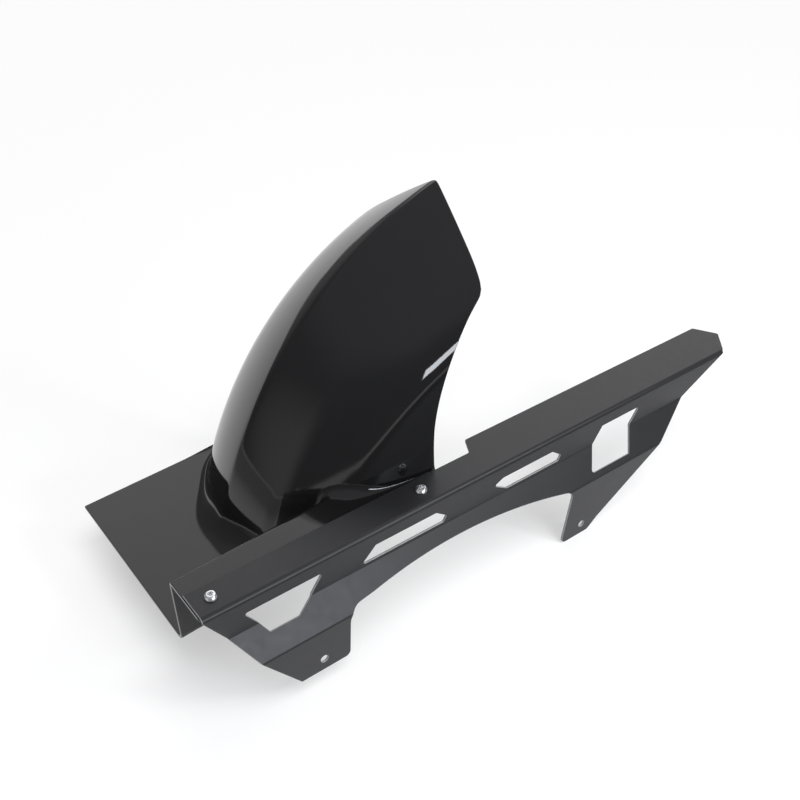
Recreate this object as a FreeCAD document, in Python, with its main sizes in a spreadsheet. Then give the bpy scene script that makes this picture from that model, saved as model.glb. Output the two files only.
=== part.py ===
import FreeCAD, Part
import math
import os

import Sketcher
from FreeCAD import Vector

# Rear hugger of a motorcycle: a moulded fender shell with a folded chain guard screwed to its left flange.
# Every piece is drawn with X forward, Y to the left and Z up from the guard's front outer top corner.
# It is then seated so that the origin is the front tab's hole, on the face that meets the swingarm.

# Driving dimensions: name, millimetres (slopes have no unit), and what it measures.
# "back" is to the rear of the guard's front edge, "drop" and "rise" are down and up from its top face,
# and "in" is to the right of its upright side.
SIZES = [
    ("guard_sheet", 2.0, "thickness of the folded guard"),
    ("guard_length", 574.5, "front edge to rear point"),
    ("guard_bend", 2.0, "inside radius of the folds"),
    ("top_width", 30.5, "top face in front"),
    ("top_rear_width", 46.0, "top face behind its jog"),
    ("jog_start_back", 263.0, "where the top face starts to widen"),
    ("jog_end_back", 271.0, "where the top face is wide"),
    ("side_height", 30.0, "upright side"),
    ("splay_out", 18.0, "how far the splayed side leans out"),
    ("splay_drop", 23.0, "height of the splayed side"),
    ("nose_cut_drop", 4.0, "start of the slanted front cut"),
    ("nose_fold_back", 13.6, "front cut at the upper fold"),
    ("nose_tab_back", 29.3, "front cut at the lower fold"),
    ("front_tab_start_back", 59.5, "front tab's front bottom corner"),
    ("front_tab_end_back", 104.5, "front tab's rear bottom corner"),
    ("front_tab_drop", 94.5, "front tab's bottom edge"),
    ("front_tab_root_back", 106.0, "front tab where its rear edge turns"),
    ("front_tab_root_drop", 67.0, "front tab where its rear edge turns"),
    ("front_root_radius", 21.0, "turn from the front tab into the lower arch"),
    ("arch_front_back", 125.0, "front end of the lower arch"),
    ("arch_front_drop", 47.7, "lower arch in front"),
    ("arch_rear_back", 334.0, "rear end of the lower arch"),
    ("arch_rear_drop", 51.6, "lower arch at the rear"),
    ("arch_radius", 620.0, "lower arch"),
    ("rear_root_radius", 9.0, "turn from the lower arch into the rear tab"),
    ("rear_tab_root_back", 342.0, "rear tab where its front edge turns"),
    ("rear_tab_root_drop", 60.5, "rear tab where its front edge turns"),
    ("rear_tab_start_back", 333.3, "rear tab's front bottom corner"),
    ("rear_tab_end_back", 366.0, "rear tab's rear bottom corner"),
    ("rear_tab_drop", 110.3, "rear tab's bottom edge"),
    ("rear_tab_slant_back", 378.0, "rear tab's slanted corner"),
    ("rear_tab_slant_drop", 100.6, "rear tab's slanted corner"),
    ("tail_low_back", 455.0, "rear cut at the lower fold"),
    ("tail_fold_back", 500.0, "rear cut at the upper fold"),
    ("tail_top_back", 553.8, "rear cut at the top face"),
    ("tail_inner_back", 562.5, "inner rear corner of the top face"),
    ("tail_point_in", 24.0, "rear point of the top face"),
    ("top_corner", 2.5, "corner radius of the top face"),
    ("tab_corner", 5.0, "corner radius of the tabs"),
    ("tab_hole", 6.6, "bore of both tab holes"),
    ("front_hole_back", 80.8, "front tab hole"),
    ("front_hole_drop", 83.0, "front tab hole"),
    ("rear_hole_back", 357.7, "rear tab hole"),
    ("rear_hole_drop", 99.0, "rear tab hole"),
    ("window_drop", 14.2, "top edge of all four windows"),
    ("window_corner", 1.5, "corner radius of the windows"),
    ("front_window_back", 28.7, "front window's top front corner"),
    ("front_window_length", 67.0, "front window's top edge"),
    ("front_window_low_drop", 37.6, "front window's bottom edge"),
    ("front_window_nose", 15.8, "front window's slanted front end"),
    ("front_window_knee", 11.5, "front window's rear end down to the fold"),
    ("front_window_tail", 25.7, "front window's whole slanted rear end"),
    ("slot_low_drop", 27.4, "bottom edge of both slots"),
    ("slot_knee_drop", 22.2, "rear corner of both slots"),
    ("slot_knee", 10.4, "slanted top rear corner of both slots"),
    ("slot_tail", 2.8, "slanted bottom rear corner of both slots"),
    ("front_slot_back", 130.7, "front slot's pointed end"),
    ("front_slot_length", 83.9, "front slot"),
    ("front_slot_nose", 14.2, "front slot's slanted front end"),
    ("rear_slot_back", 265.6, "rear slot's pointed end"),
    ("rear_slot_length", 76.1, "rear slot"),
    ("rear_slot_nose", 9.7, "rear slot's slanted top front corner"),
    ("rear_slot_nose_drop", 18.5, "rear slot's pointed end"),
    ("rear_slot_chin", 14.3, "rear slot's slanted bottom front corner"),
    ("rear_window_back", 392.0, "rear window's top front corner"),
    ("rear_window_length", 46.9, "rear window's top edge"),
    ("rear_window_low_drop", 48.0, "rear window's bottom edge"),
    ("rear_window_lean", 23.0, "how far the rear window leans forward"),
    ("front_screw_back", 12.9, "front screw"),
    ("rear_screw_lead", 25.3, "rear screw ahead of the flange's rear end"),
    ("screw_in", 16.7, "both screws"),
    ("screw_hole", 6.6, "clearance holes for the screws"),
    ("screw_diameter", 6.0, "screw shank"),
    ("screw_length", 16.0, "screw under its head"),
    ("screw_head_diameter", 10.5, "button head"),
    ("screw_head_height", 3.3, "button head"),
    ("screw_head_rim", 0.5, "upright rim of the button head"),
    ("screw_head_land", 5.6, "flat on top of the button head"),
    ("screw_dome_radius", 5.4, "dome of the button head"),
    ("screw_socket", 4.0, "hexagon socket across flats"),
    ("screw_socket_depth", 2.0, "hexagon socket"),
    ("washer_diameter", 12.0, "washer outside"),
    ("washer_bore", 6.4, "washer inside"),
    ("washer_height", 1.6, "washer"),
    ("nut_flats", 10.0, "nut across flats"),
    ("nut_hexagon_height", 4.2, "hexagon of the nut"),
    ("nut_collar_height", 1.8, "locking collar of the nut"),
    ("nut_collar_diameter", 8.8, "locking collar of the nut"),
    ("shell_wall", 3.0, "wall of the moulded shell"),
    ("plate_lead", 3.0, "front edge of the shell ahead of the guard"),
    ("plate_drop", 63.5, "flat front plate"),
    ("plate_right_in", 241.0, "plate's right edge in front"),
    ("plate_right_spread", 12.0, "how far the right edge runs out to the rear"),
    ("flange_left_in", 5.0, "flange's left edge, inside the guard"),
    ("flange_length", 227.0, "rear end of the flange"),
    ("step_in", 52.0, "step between plate and flange, in front"),
    ("step_spread", 12.3, "how far the step runs in to the rear"),
    ("step_bend", 5.0, "outside radius of the step's two bends"),
    ("wheel_back", 422.3, "wheel axle"),
    ("wheel_drop", 141.4, "wheel axle"),
    ("wheel_in", 140.0, "wheel's middle plane"),
    ("spine_radius", 351.5, "spine of the fender about the axle"),
    ("spine_half_width", 14.0, "rounded spine"),
    ("roof_half_width", 94.0, "roof of the fender"),
    ("skirt_half_width", 105.0, "skirt below the shoulders"),
    ("skirt_depth", 74.0, "skirt below the shoulders"),
    ("hem_half_width", 109.0, "hem of the skirts"),
    ("hem_depth", 124.0, "hem of the skirts"),
    ("nose_slope", 0.265, "roof slope at the nose"),
    ("tail_slope", 0.534, "roof slope at the rear tip"),
    ("plate_flare", 20.0, "hollow radius between fender and plate"),
    ("flange_flare", 12.0, "hollow radius between fender and flange"),
    ("guard_gap", 0.5, "between that hollow and the guard's top face"),
    ("tip_back", 312.6, "rear tip of the spine"),
    ("tip_rise", 192.6, "rear tip of the spine"),
    ("corner_back", 291.0, "lower rear corners"),
    ("corner_rise", 133.6, "lower rear corners"),
    ("rear_corner_radius", 20.0, "rounding of the lower rear corners"),
    ("left_hem_radius", 137.0, "hollow of the left lower edge"),
    ("right_hem_radius", 235.0, "hollow of the right lower edge"),
    ("right_hem_back", 200.0, "where the right lower edge meets the plate"),
]

CLEAR = 30.0  # how far a cutting shape runs past what it cuts
DEPTH = 60.0  # how far a form is filled below the lowest wall
EMBED = 0.3  # how far a flare sinks into the walls that it joins
ROOF_RISE = 0.6  # the roof steepens early: its slope grows with this power of the way along the spine
FORM_STATIONS = (0.0, 0.18, 0.42, 0.7, 1.0)  # places of the fender's sections along its arc
FORM_RUN_OUT = 6.0  # degrees that the fender's form runs past its two ends
FLARE_STEPS = (0.0, 0.1, 0.35, 1.0)  # heights of a flare's sections, as shares of its radius
FLARE_POINTS = 15  # points along each of a flare's sections


class Dim:
    """A size with its present value and the sheet expression that gives it."""

    def __init__(self, text, value):
        self.text = text
        self.value = value

    def __add__(self, other):
        other = as_dim(other)
        return Dim(f"({self.text} + {other.text})", self.value + other.value)

    def __sub__(self, other):
        other = as_dim(other)
        return Dim(f"({self.text} - {other.text})", self.value - other.value)

    def __mul__(self, other):
        other = as_dim(other)
        return Dim(f"({self.text} * {other.text})", self.value * other.value)

    def __truediv__(self, other):
        other = as_dim(other)
        return Dim(f"({self.text} / {other.text})", self.value / other.value)

    def __neg__(self):
        return Dim(f"(0 - {self.text})", -self.value)


def as_dim(number):
    return number if isinstance(number, Dim) else Dim(repr(float(number)), float(number))


doc = FreeCAD.newDocument("rear_hugger")
sheet = doc.addObject("Spreadsheet::Sheet", "Sizes")
for row, (name, value, meaning) in enumerate(SIZES, start=1):
    sheet.set(f"A{row}", name)
    sheet.set(f"B{row}", str(value))
    sheet.set(f"C{row}", meaning)
    sheet.setAlias(f"B{row}", name)
doc.recompute()


def size(name):
    return float(sheet.get(name))


def dim(name):
    return Dim(f"Sizes.{name}", size(name))


# Helpers for bodies and sketches

def bind(target, path, length):
    target.setExpression(path, as_dim(length).text)


def place(target, along, across, up):
    """Puts a piece at three lengths from the guard's corner or the frame's origin."""
    for axis, length in zip("xyz", (along, across, up)):
        bind(target, f"Placement.Base.{axis}", length)


def seat(target):
    """Moves a finished piece from the guard's corner into the frame of the front tab hole."""
    place(target, dim("front_hole_back"), dim("guard_sheet") - dim("splay_out"), dim("front_hole_drop"))


def new_object(kind, label):
    item = doc.addObject(kind, label)
    item.Label = label
    return item


def new_sketch(body, name, role, offset=None):
    """A sketch on one of the body's own planes, moved along that plane's normal."""
    plane = next(item for item in body.Origin.OriginFeatures if item.Role == role)
    sketch = body.newObject("Sketcher::SketchObject", name)
    sketch.AttachmentSupport = [(plane, "")]
    sketch.MapMode = "FlatFace"
    if offset is not None:
        bind(sketch, "AttachmentOffset.Base.z", offset)
    return sketch


def flat(point):
    return Vector(point[0].value, point[1].value, 0)


def pin(sketch, geometry, vertex, point):
    """Fixes a point of the sketch at two lengths from its origin."""
    for kind, length in zip(("DistanceX", "DistanceY"), point):
        constraint = Sketcher.Constraint(kind, -1, 1, geometry, vertex, length.value)
        bind(sketch, f"Constraints[{sketch.addConstraint(constraint)}]", length)


def set_radius(sketch, geometry, radius):
    constraint = Sketcher.Constraint("Radius", geometry, radius.value)
    bind(sketch, f"Constraints[{sketch.addConstraint(constraint)}]", radius)


def arc_side(start, end, radius, turn):
    """A flat arc from start to end that bulges to the left (+1) or the right (-1) of the way."""
    chord = end - start
    left = Vector(-chord.y, chord.x, 0).normalize()
    rise = radius - math.sqrt(radius ** 2 - (chord.Length / 2) ** 2)
    return Part.Arc(start, (start + end) * 0.5 + left * (rise * turn), end)


def draw_outline(sketch, corners, arcs=()):
    """Draws a closed outline; arcs holds (number of the side, radius, turn) for the sides that are round."""
    corners = [tuple(as_dim(length) for length in corner) for corner in corners]
    rounds = {number: (as_dim(radius), turn) for number, radius, turn in arcs}
    sides = []
    for number, start in enumerate(corners):
        end = corners[(number + 1) % len(corners)]
        if number in rounds:
            radius, turn = rounds[number]
            side = sketch.addGeometry(arc_side(flat(start), flat(end), radius.value, turn))
        else:
            side = sketch.addGeometry(Part.LineSegment(flat(start), flat(end)))
        forward = sketch.getPoint(side, 1).distanceToPoint(flat(start)) < 1e-6
        sides.append((side, 1, 2) if forward else (side, 2, 1))
    for number, (side, head, tail) in enumerate(sides):
        following = sides[(number + 1) % len(sides)]
        sketch.addConstraint(Sketcher.Constraint("Coincident", side, tail, following[0], following[1]))
        pin(sketch, side, head, corners[number])
        if number in rounds:
            set_radius(sketch, side, rounds[number][0])


def draw_circle(sketch, centre, diameter):
    centre = tuple(as_dim(length) for length in centre)
    radius = as_dim(diameter) / 2
    circle = sketch.addGeometry(Part.Circle(flat(centre), Vector(0, 0, 1), radius.value))
    pin(sketch, circle, 3, centre)
    set_radius(sketch, circle, radius)


def draw_hexagon(sketch, flats):
    corner_radius = as_dim(flats) / math.sqrt(3)
    turns = [math.radians(60 * number) for number in range(6)]
    draw_outline(sketch, [(corner_radius * math.cos(turn), corner_radius * math.sin(turn)) for turn in turns])


def pad(body, sketch, name, length, backwards=False):
    feature = body.newObject("PartDesign::Pad", name)
    feature.Profile = sketch
    feature.Reversed = backwards
    bind(feature, "Length", length)
    doc.recompute()
    return feature


def cut_through(body, sketch, name):
    """Cuts a sketch right through its body, both ways, and makes sure that it took something away."""
    doc.recompute()
    before = body.Shape.Volume
    feature = body.newObject("PartDesign::Pocket", name)
    feature.Profile = sketch
    feature.Type = "ThroughAll"
    feature.Midplane = True
    doc.recompute()
    if body.Shape.Volume > before - 1e-3:
        raise RuntimeError(f"{name} cuts nothing")


def round_edges(body, name, test, radius):
    """Rounds those edges of the body's tip that pass a test."""
    base = body.Tip
    edges = [f"Edge{number}" for number, edge in enumerate(base.Shape.Edges, start=1) if test(edge)]
    if not edges:
        raise RuntimeError(f"{name} finds no edge")
    feature = body.newObject("PartDesign::Fillet", name)
    feature.Base = (base, edges)
    bind(feature, "Radius", radius)
    doc.recompute()


def middle_of(edge):
    return edge.valueAt((edge.FirstParameter + edge.LastParameter) / 2)


def runs_along(edge, direction):
    """True for a straight edge that runs along a direction."""
    if edge.Curve.TypeId != "Part::GeomLine":
        return False
    return abs(edge.tangentAt(edge.FirstParameter).dot(direction)) > 0.99


def stands_at(edge, axes, corners):
    """True where an edge's middle lies at one of the corners, read on two axes."""
    middle = middle_of(edge)
    here = [getattr(middle, axis) for axis in axes]
    return any(math.dist(here, (corner[0].value, corner[1].value)) < 0.02 for corner in corners)


# Folded chain guard

def guard_profile(sketch):
    """Draws the folded sheet's section; returns the corners on the tight and the wide side of its folds."""
    sheet_wall = dim("guard_sheet")
    lean = math.tan(math.atan(size("splay_out") / size("splay_drop")) / 2)
    mitre = Dim("tan(atan(Sizes.splay_out / Sizes.splay_drop) / 2)", lean) * sheet_wall
    fold = -dim("side_height")
    foot = fold - dim("splay_drop")
    out = dim("splay_out")
    outer = [(as_dim(0), as_dim(0)), (as_dim(0), fold), (out, foot)]
    inner = [(-sheet_wall, -sheet_wall), (-sheet_wall, fold - mitre), (out - sheet_wall, foot - mitre)]
    start = [(-dim("top_rear_width"), as_dim(0))]
    hem = [(out, -dim("rear_tab_drop")), (out - sheet_wall, -dim("rear_tab_drop"))]
    finish = [(-dim("top_rear_width"), -sheet_wall)]
    draw_outline(sketch, start + outer + hem + inner[::-1] + finish)
    return [inner[0], outer[1], inner[2]], [outer[0], inner[1], outer[2]]


def trim_guard_top(body):
    """Cuts the top face to its plan: a narrow front, a jog and a pointed rear end."""
    sketch = new_sketch(body, "top_plan", "XY_Plane")
    beyond = -dim("top_rear_width") - CLEAR
    outside = dim("splay_out") + CLEAR
    behind = -dim("guard_length") - CLEAR
    jog = [(-dim("jog_start_back"), -dim("top_width")), (-dim("jog_end_back"), -dim("top_rear_width"))]
    tail = [(-dim("tail_inner_back"), -dim("top_rear_width")), (-dim("guard_length"), -dim("tail_point_in"))]
    draw_outline(sketch, [(CLEAR, -dim("top_width")), *jog, (-dim("jog_end_back"), beyond), (CLEAR, beyond)])
    draw_outline(sketch, [
        (-dim("tail_inner_back"), beyond), *tail, (-dim("tail_top_back"), 0),
        (-dim("tail_top_back"), outside), (behind, outside), (behind, beyond)])
    cut_through(body, sketch, "top_trim")
    round_edges(body, "top_rounds",
                lambda edge: runs_along(edge, Vector(0, 0, 1)) and stands_at(edge, "xy", jog + tail),
                dim("top_corner"))


def trim_guard_side(body):
    """Cuts the side to its outline: slanted ends, and two tabs with an arch between them."""
    fold = -dim("side_height")
    foot = fold - dim("splay_drop")
    below = -dim("rear_tab_drop") - CLEAR
    behind = -dim("guard_length") - CLEAR
    tab_corners = [
        (-dim("front_tab_end_back"), -dim("front_tab_drop")),
        (-dim("rear_tab_start_back"), -dim("rear_tab_drop")),
        (-dim("rear_tab_end_back"), -dim("rear_tab_drop"))]
    sketch = new_sketch(body, "side_outline", "XZ_Plane")
    draw_outline(sketch, [
        (CLEAR, -dim("nose_cut_drop")), (0, -dim("nose_cut_drop")), (-dim("nose_fold_back"), fold),
        (-dim("nose_tab_back"), foot), (-dim("front_tab_start_back"), -dim("front_tab_drop")), tab_corners[0],
        (-dim("front_tab_root_back"), -dim("front_tab_root_drop")),
        (-dim("arch_front_back"), -dim("arch_front_drop")), (-dim("arch_rear_back"), -dim("arch_rear_drop")),
        (-dim("rear_tab_root_back"), -dim("rear_tab_root_drop")), tab_corners[1],
        (-dim("rear_tab_start_back"), below), (CLEAR, below)],
        arcs=[(6, dim("front_root_radius"), -1), (7, dim("arch_radius"), -1),
              (8, dim("rear_root_radius"), -1)])
    draw_outline(sketch, [
        tab_corners[2], (-dim("rear_tab_slant_back"), -dim("rear_tab_slant_drop")),
        (-dim("tail_low_back"), foot), (-dim("tail_fold_back"), fold),
        (-dim("tail_top_back"), -dim("guard_sheet")), (behind, -dim("guard_sheet")), (behind, below),
        (-dim("rear_tab_end_back"), below)])
    cut_through(body, sketch, "side_trim")
    round_edges(body, "tab_rounds",
                lambda edge: runs_along(edge, Vector(0, 1, 0)) and stands_at(edge, "xz", tab_corners),
                dim("tab_corner"))


def front_window():
    start = -dim("front_window_back")
    end = start - dim("front_window_length")
    low = -dim("front_window_low_drop")
    return [(start, -dim("window_drop")), (end, -dim("window_drop")),
            (end + dim("front_window_knee"), -dim("side_height")),
            (end + dim("front_window_tail"), low), (start - dim("front_window_nose"), low)]


def slot_rear_end(end):
    return [(end + dim("slot_knee"), -dim("window_drop")), (end, -dim("slot_knee_drop")),
            (end + dim("slot_tail"), -dim("slot_low_drop"))]


def front_slot():
    start = -dim("front_slot_back")
    nose = [(start, -dim("slot_low_drop")), (start - dim("front_slot_nose"), -dim("window_drop"))]
    return nose + slot_rear_end(start - dim("front_slot_length"))


def rear_slot():
    start = -dim("rear_slot_back")
    nose = [(start - dim("rear_slot_chin"), -dim("slot_low_drop")), (start, -dim("rear_slot_nose_drop")),
            (start - dim("rear_slot_nose"), -dim("window_drop"))]
    return nose + slot_rear_end(start - dim("rear_slot_length"))


def rear_window():
    start = -dim("rear_window_back")
    end = start - dim("rear_window_length")
    low = -dim("rear_window_low_drop")
    lean = dim("rear_window_lean")
    return [(start, -dim("window_drop")), (end, -dim("window_drop")), (end + lean, low), (start + lean, low)]


def cut_windows(body):
    sketch = new_sketch(body, "windows", "XZ_Plane")
    outlines = [front_window(), front_slot(), rear_slot(), rear_window()]
    for outline in outlines:
        draw_outline(sketch, outline)
    cut_through(body, sketch, "window_cuts")
    fold_corner = outlines[0][2]
    corners = [corner for outline in outlines for corner in outline if corner is not fold_corner]
    round_edges(body, "window_rounds",
                lambda edge: runs_along(edge, Vector(0, 1, 0)) and stands_at(edge, "xz", corners),
                dim("window_corner"))


def screw_backs():
    return [dim("front_screw_back"), dim("flange_length") - dim("rear_screw_lead")]


def drill_guard(body):
    tabs = new_sketch(body, "tab_holes", "XZ_Plane")
    for end in ("front", "rear"):
        draw_circle(tabs, (-dim(f"{end}_hole_back"), -dim(f"{end}_hole_drop")), dim("tab_hole"))
    cut_through(body, tabs, "tab_bores")
    top = new_sketch(body, "screw_holes", "XY_Plane")
    for back in screw_backs():
        draw_circle(top, (-back, -dim("screw_in")), dim("screw_hole"))
    cut_through(body, top, "screw_bores")


def make_chain_guard():
    body = new_object("PartDesign::Body", "chain_guard")
    sketch = new_sketch(body, "fold_profile", "YZ_Plane")
    tight, wide = guard_profile(sketch)
    pad(body, sketch, "folded_sheet", dim("guard_length"), backwards=True)
    along = Vector(1, 0, 0)
    round_edges(body, "tight_folds", lambda edge: runs_along(edge, along) and stands_at(edge, "yz", tight),
                dim("guard_bend"))
    round_edges(body, "wide_folds", lambda edge: runs_along(edge, along) and stands_at(edge, "yz", wide),
                dim("guard_bend") + dim("guard_sheet"))
    trim_guard_top(body)
    trim_guard_side(body)
    cut_windows(body)
    drill_guard(body)
    seat(body)
    return body


# Moulded hugger shell: an outer form less an inner form, each a stepped block with the fender's arch on it

def step_form(label, inset):
    """Two filled blocks, below the plate and below the flange, their faces moved in by the inset."""
    margin = 0 if inset is None else CLEAR
    wall = as_dim(0) if inset is None else inset
    body = new_object("PartDesign::Body", label)
    levels = {"plate": -dim("plate_drop") - wall, "flange": -dim("guard_sheet") - wall}
    bottom = -dim("plate_drop") - DEPTH
    front = dim("plate_lead") + margin
    rear = -dim("flange_length") - margin
    left = -dim("flange_left_in") + margin
    step = wall - dim("step_in")
    right = -dim("plate_right_in") - margin
    edges = {"plate": (right, right - dim("plate_right_spread")), "flange": (step, step - dim("step_spread"))}
    for name, (front_edge, rear_edge) in edges.items():
        sketch = new_sketch(body, f"{name}_plan", "XY_Plane", bottom)
        draw_outline(sketch, [(front, left), (front, front_edge), (rear, rear_edge), (rear, left)])
        pad(body, sketch, f"filled_{name}", levels[name] - bottom)
    middle = ((front + rear) / 2, step - dim("step_spread") / 2)
    for name, bend in (("plate", dim("step_bend") + wall), ("flange", dim("step_bend") - wall)):
        spots = [(middle[1], levels[name])]
        round_edges(body, f"{name}_bend",
                    lambda edge: stands_at(edge, "xy", [middle]) and stands_at(edge, "yz", spots), bend)
    return body


def arch_angle(back, rise):
    """The angle of a point about the axle, from straight ahead, in degrees."""
    return math.degrees(math.atan2(rise + size("wheel_drop"), size("wheel_back") - back))


def nose_angle():
    return math.degrees(math.asin((size("wheel_drop") - size("plate_drop")) / size("spine_radius")))


def tip_angle():
    return arch_angle(size("tip_back"), size("tip_rise"))


def roof_slope(angle):
    """The roof is nearly flat across the nose and steepens into a gable towards the rear tip."""
    way = (angle - nose_angle()) / (tip_angle() - nose_angle())
    return size("nose_slope") + (size("tail_slope") - size("nose_slope")) * max(way, 0.0) ** ROOF_RISE


def half_section(slope):
    """Poles of half a section, as half width and depth below the spine: spine, roof, shoulder, skirt, hem."""
    spine = size("spine_half_width")
    roof = size("roof_half_width")
    halfway = (spine + roof) / 2
    gable = [(0.0, -slope * spine / 2)] + [(half, slope * half) for half in (spine, halfway, roof)]
    return gable + [(size(f"{name}_half_width"), size(f"{name}_depth")) for name in ("skirt", "hem")]


def moved_in(poles, distance):
    """Moves a section's sides in by a distance, mitred at each pole."""
    mirrored = (-poles[1][0], poles[1][1])
    chain = [mirrored] + poles
    moved = []
    for number in range(1, len(chain)):
        normals = []
        for start, end in zip(chain[number - 1:number + 1], chain[number:number + 2]):
            run = math.dist(start, end)
            normals.append(((start[1] - end[1]) / run, (end[0] - start[0]) / run))
        push = [sum(values) for values in zip(*normals)]
        spread = distance * len(normals) / (push[0] ** 2 + push[1] ** 2)
        moved.append((chain[number][0] + push[0] * spread, chain[number][1] + push[1] * spread))
    return moved


def fender_section(angle, inset, floor_radius):
    """A closed wire across the fender in the plane through the axle at an angle."""
    poles = moved_in(half_section(roof_slope(angle)), inset)
    whole = [(-half, depth) for half, depth in reversed(poles[1:])] + poles
    ahead = math.cos(math.radians(angle))
    up = math.sin(math.radians(angle))

    axle = Vector(-size("wheel_back"), -size("wheel_in"), -size("wheel_drop"))

    def point(half, radius):
        return axle + Vector(radius * ahead, half, radius * up)

    crown = Part.BSplineCurve()
    crown.buildFromPoles([point(half, size("spine_radius") - depth) for half, depth in whole], False, 3)
    hems = [point(half, size("spine_radius") - depth) for half, depth in (whole[-1], whole[0])]
    feet = [point(whole[-1][0], floor_radius), point(whole[0][0], floor_radius)]
    chain = [hems[0], feet[0], feet[1], hems[1]]
    return Part.Wire([crown.toShape()] + [Part.makeLine(start, end) for start, end in zip(chain, chain[1:])])


def fender_form(label, inset):
    """The arch over the wheel as a filled loft through sections about the axle."""
    start = nose_angle() - FORM_RUN_OUT
    end = tip_angle() + FORM_RUN_OUT
    floor_radius = (size("spine_radius") - size("hem_depth")) / 2
    angles = [start + (end - start) * share for share in FORM_STATIONS]
    form = new_object("Part::Feature", label)
    form.Shape = Part.makeLoft([fender_section(angle, inset, floor_radius) for angle in angles], True, False)
    return form


def flare_form(label, fender, drop, radius, edge):
    """A hollow fillet round the foot of the fender, kept between the step and an outer edge in plan."""
    axle = Vector(-size("wheel_back"), -size("wheel_in"), 0)
    rings = []
    for share in FLARE_STEPS:
        level = share * radius - drop - EMBED
        spread = radius * (1 - math.sqrt(1 - (1 - share) ** 2)) - EMBED
        slice_wire = fender.Shape.slice(Vector(0, 0, 1), level)[0]
        foot = max(slice_wire.Edges, key=lambda edge: edge.Length)
        points = foot.discretize(FLARE_POINTS)
        ring = []
        for number, point in enumerate(points):
            way = points[min(number + 1, len(points) - 1)] - points[max(number - 1, 0)]
            outward = Vector(way.y, -way.x, 0).normalize()
            facing = 1 if outward.dot(point - axle) > 0 else -1
            ring.append(point + outward * (spread * facing))
        curve = Part.BSplineCurve()
        curve.interpolate(ring)
        rings.append(Part.Wire([curve.toShape(), Part.makeLine(ring[-1], ring[0])]))
    form = new_object("Part::Feature", label)
    step = plan_line(size("step_in"), size("step_spread"))
    form.Shape = Part.makeLoft(rings, True, False).common(column(step, edge))
    return form


def plan_line(inward, spread):
    """Two points of a line in plan that spreads in from the front edge to the rear end of the flange."""
    slant = spread / (size("plate_lead") + size("flange_length"))
    ends = [size("plate_lead") + CLEAR, -size("wheel_back")]
    return [Vector(along, (along - size("plate_lead")) * slant - inward, 0) for along in ends]


def column(first, second):
    """All the space between two lines in plan."""
    outline = Part.makePolygon([first[0], first[1], second[1], second[0], first[0]])
    height = size("plate_drop") + size("spine_radius")
    space = Part.Face(outline).extrude(Vector(0, 0, 2 * height))
    space.translate(Vector(0, 0, -height))
    return space


def hem_cutter(label, low_back, low_drop, radius, leftwards):
    """What lies behind the rear cut and below the hollow lower edge, on one side of the wheel's plane."""
    body = new_object("PartDesign::Body", label)
    sketch = new_sketch(body, "hem_line", "XZ_Plane", dim("wheel_in"))
    corner = (-dim("corner_back"), dim("corner_rise"))
    tip = (-dim("tip_back"), dim("tip_rise"))
    above = (tip[0] + tip[0] - corner[0], tip[1] + tip[1] - corner[1])
    behind = -dim("wheel_back") - CLEAR
    below = -dim("plate_drop") - dim("wheel_drop")
    draw_outline(sketch, [corner, above, (behind, above[1]), (behind, below), (-low_back, below),
                          (-low_back, -low_drop)], arcs=[(5, radius, -1)])
    pad(body, sketch, "cut_away", dim("wheel_in") + dim("hem_half_width"), backwards=leftwards)
    round_edges(body, "corner_round",
                lambda edge: runs_along(edge, Vector(0, 1, 0)) and stands_at(edge, "xz", [corner]),
                dim("rear_corner_radius"))
    return body


def screw_drill(number, back):
    drill = new_object("Part::Cylinder", f"flange_drill_{number}")
    bind(drill, "Radius", dim("screw_hole") / 2)
    bind(drill, "Height", dim("plate_drop"))
    place(drill, -back, -dim("screw_in"), -dim("plate_drop"))
    return drill


def fused(label, pieces):
    whole = new_object("Part::MultiFuse", label)
    whole.Shapes = pieces
    doc.recompute()
    return whole


def make_hugger_shell():
    fender = fender_form("fender_outside", 0.0)
    right_edge = plan_line(size("plate_right_in"), size("plate_right_spread"))
    guard_edge = plan_line(size("top_width") + size("guard_gap"), 0.0)
    outside = fused("outer_form", [
        fender, step_form("step_outside", None),
        flare_form("plate_fillet", fender, size("plate_drop"), size("plate_flare"), right_edge),
        flare_form("flange_fillet", fender, size("guard_sheet"), size("flange_flare"), guard_edge)])
    away = fused("inner_form", [
        fender_form("fender_inside", size("shell_wall")), step_form("step_inside", dim("shell_wall")),
        hem_cutter("left_hem", dim("flange_length"), dim("guard_sheet"), dim("left_hem_radius"), True),
        hem_cutter("right_hem", dim("right_hem_back"), dim("plate_drop"), dim("right_hem_radius"), False),
        *[screw_drill(number, back) for number, back in enumerate(screw_backs(), start=1)]])
    shell = new_object("Part::Cut", "hugger_shell")
    shell.Base = outside
    shell.Tool = away
    seat(shell)
    doc.recompute()
    return shell


# Screws, washers and nuts that hold the guard to the flange

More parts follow.
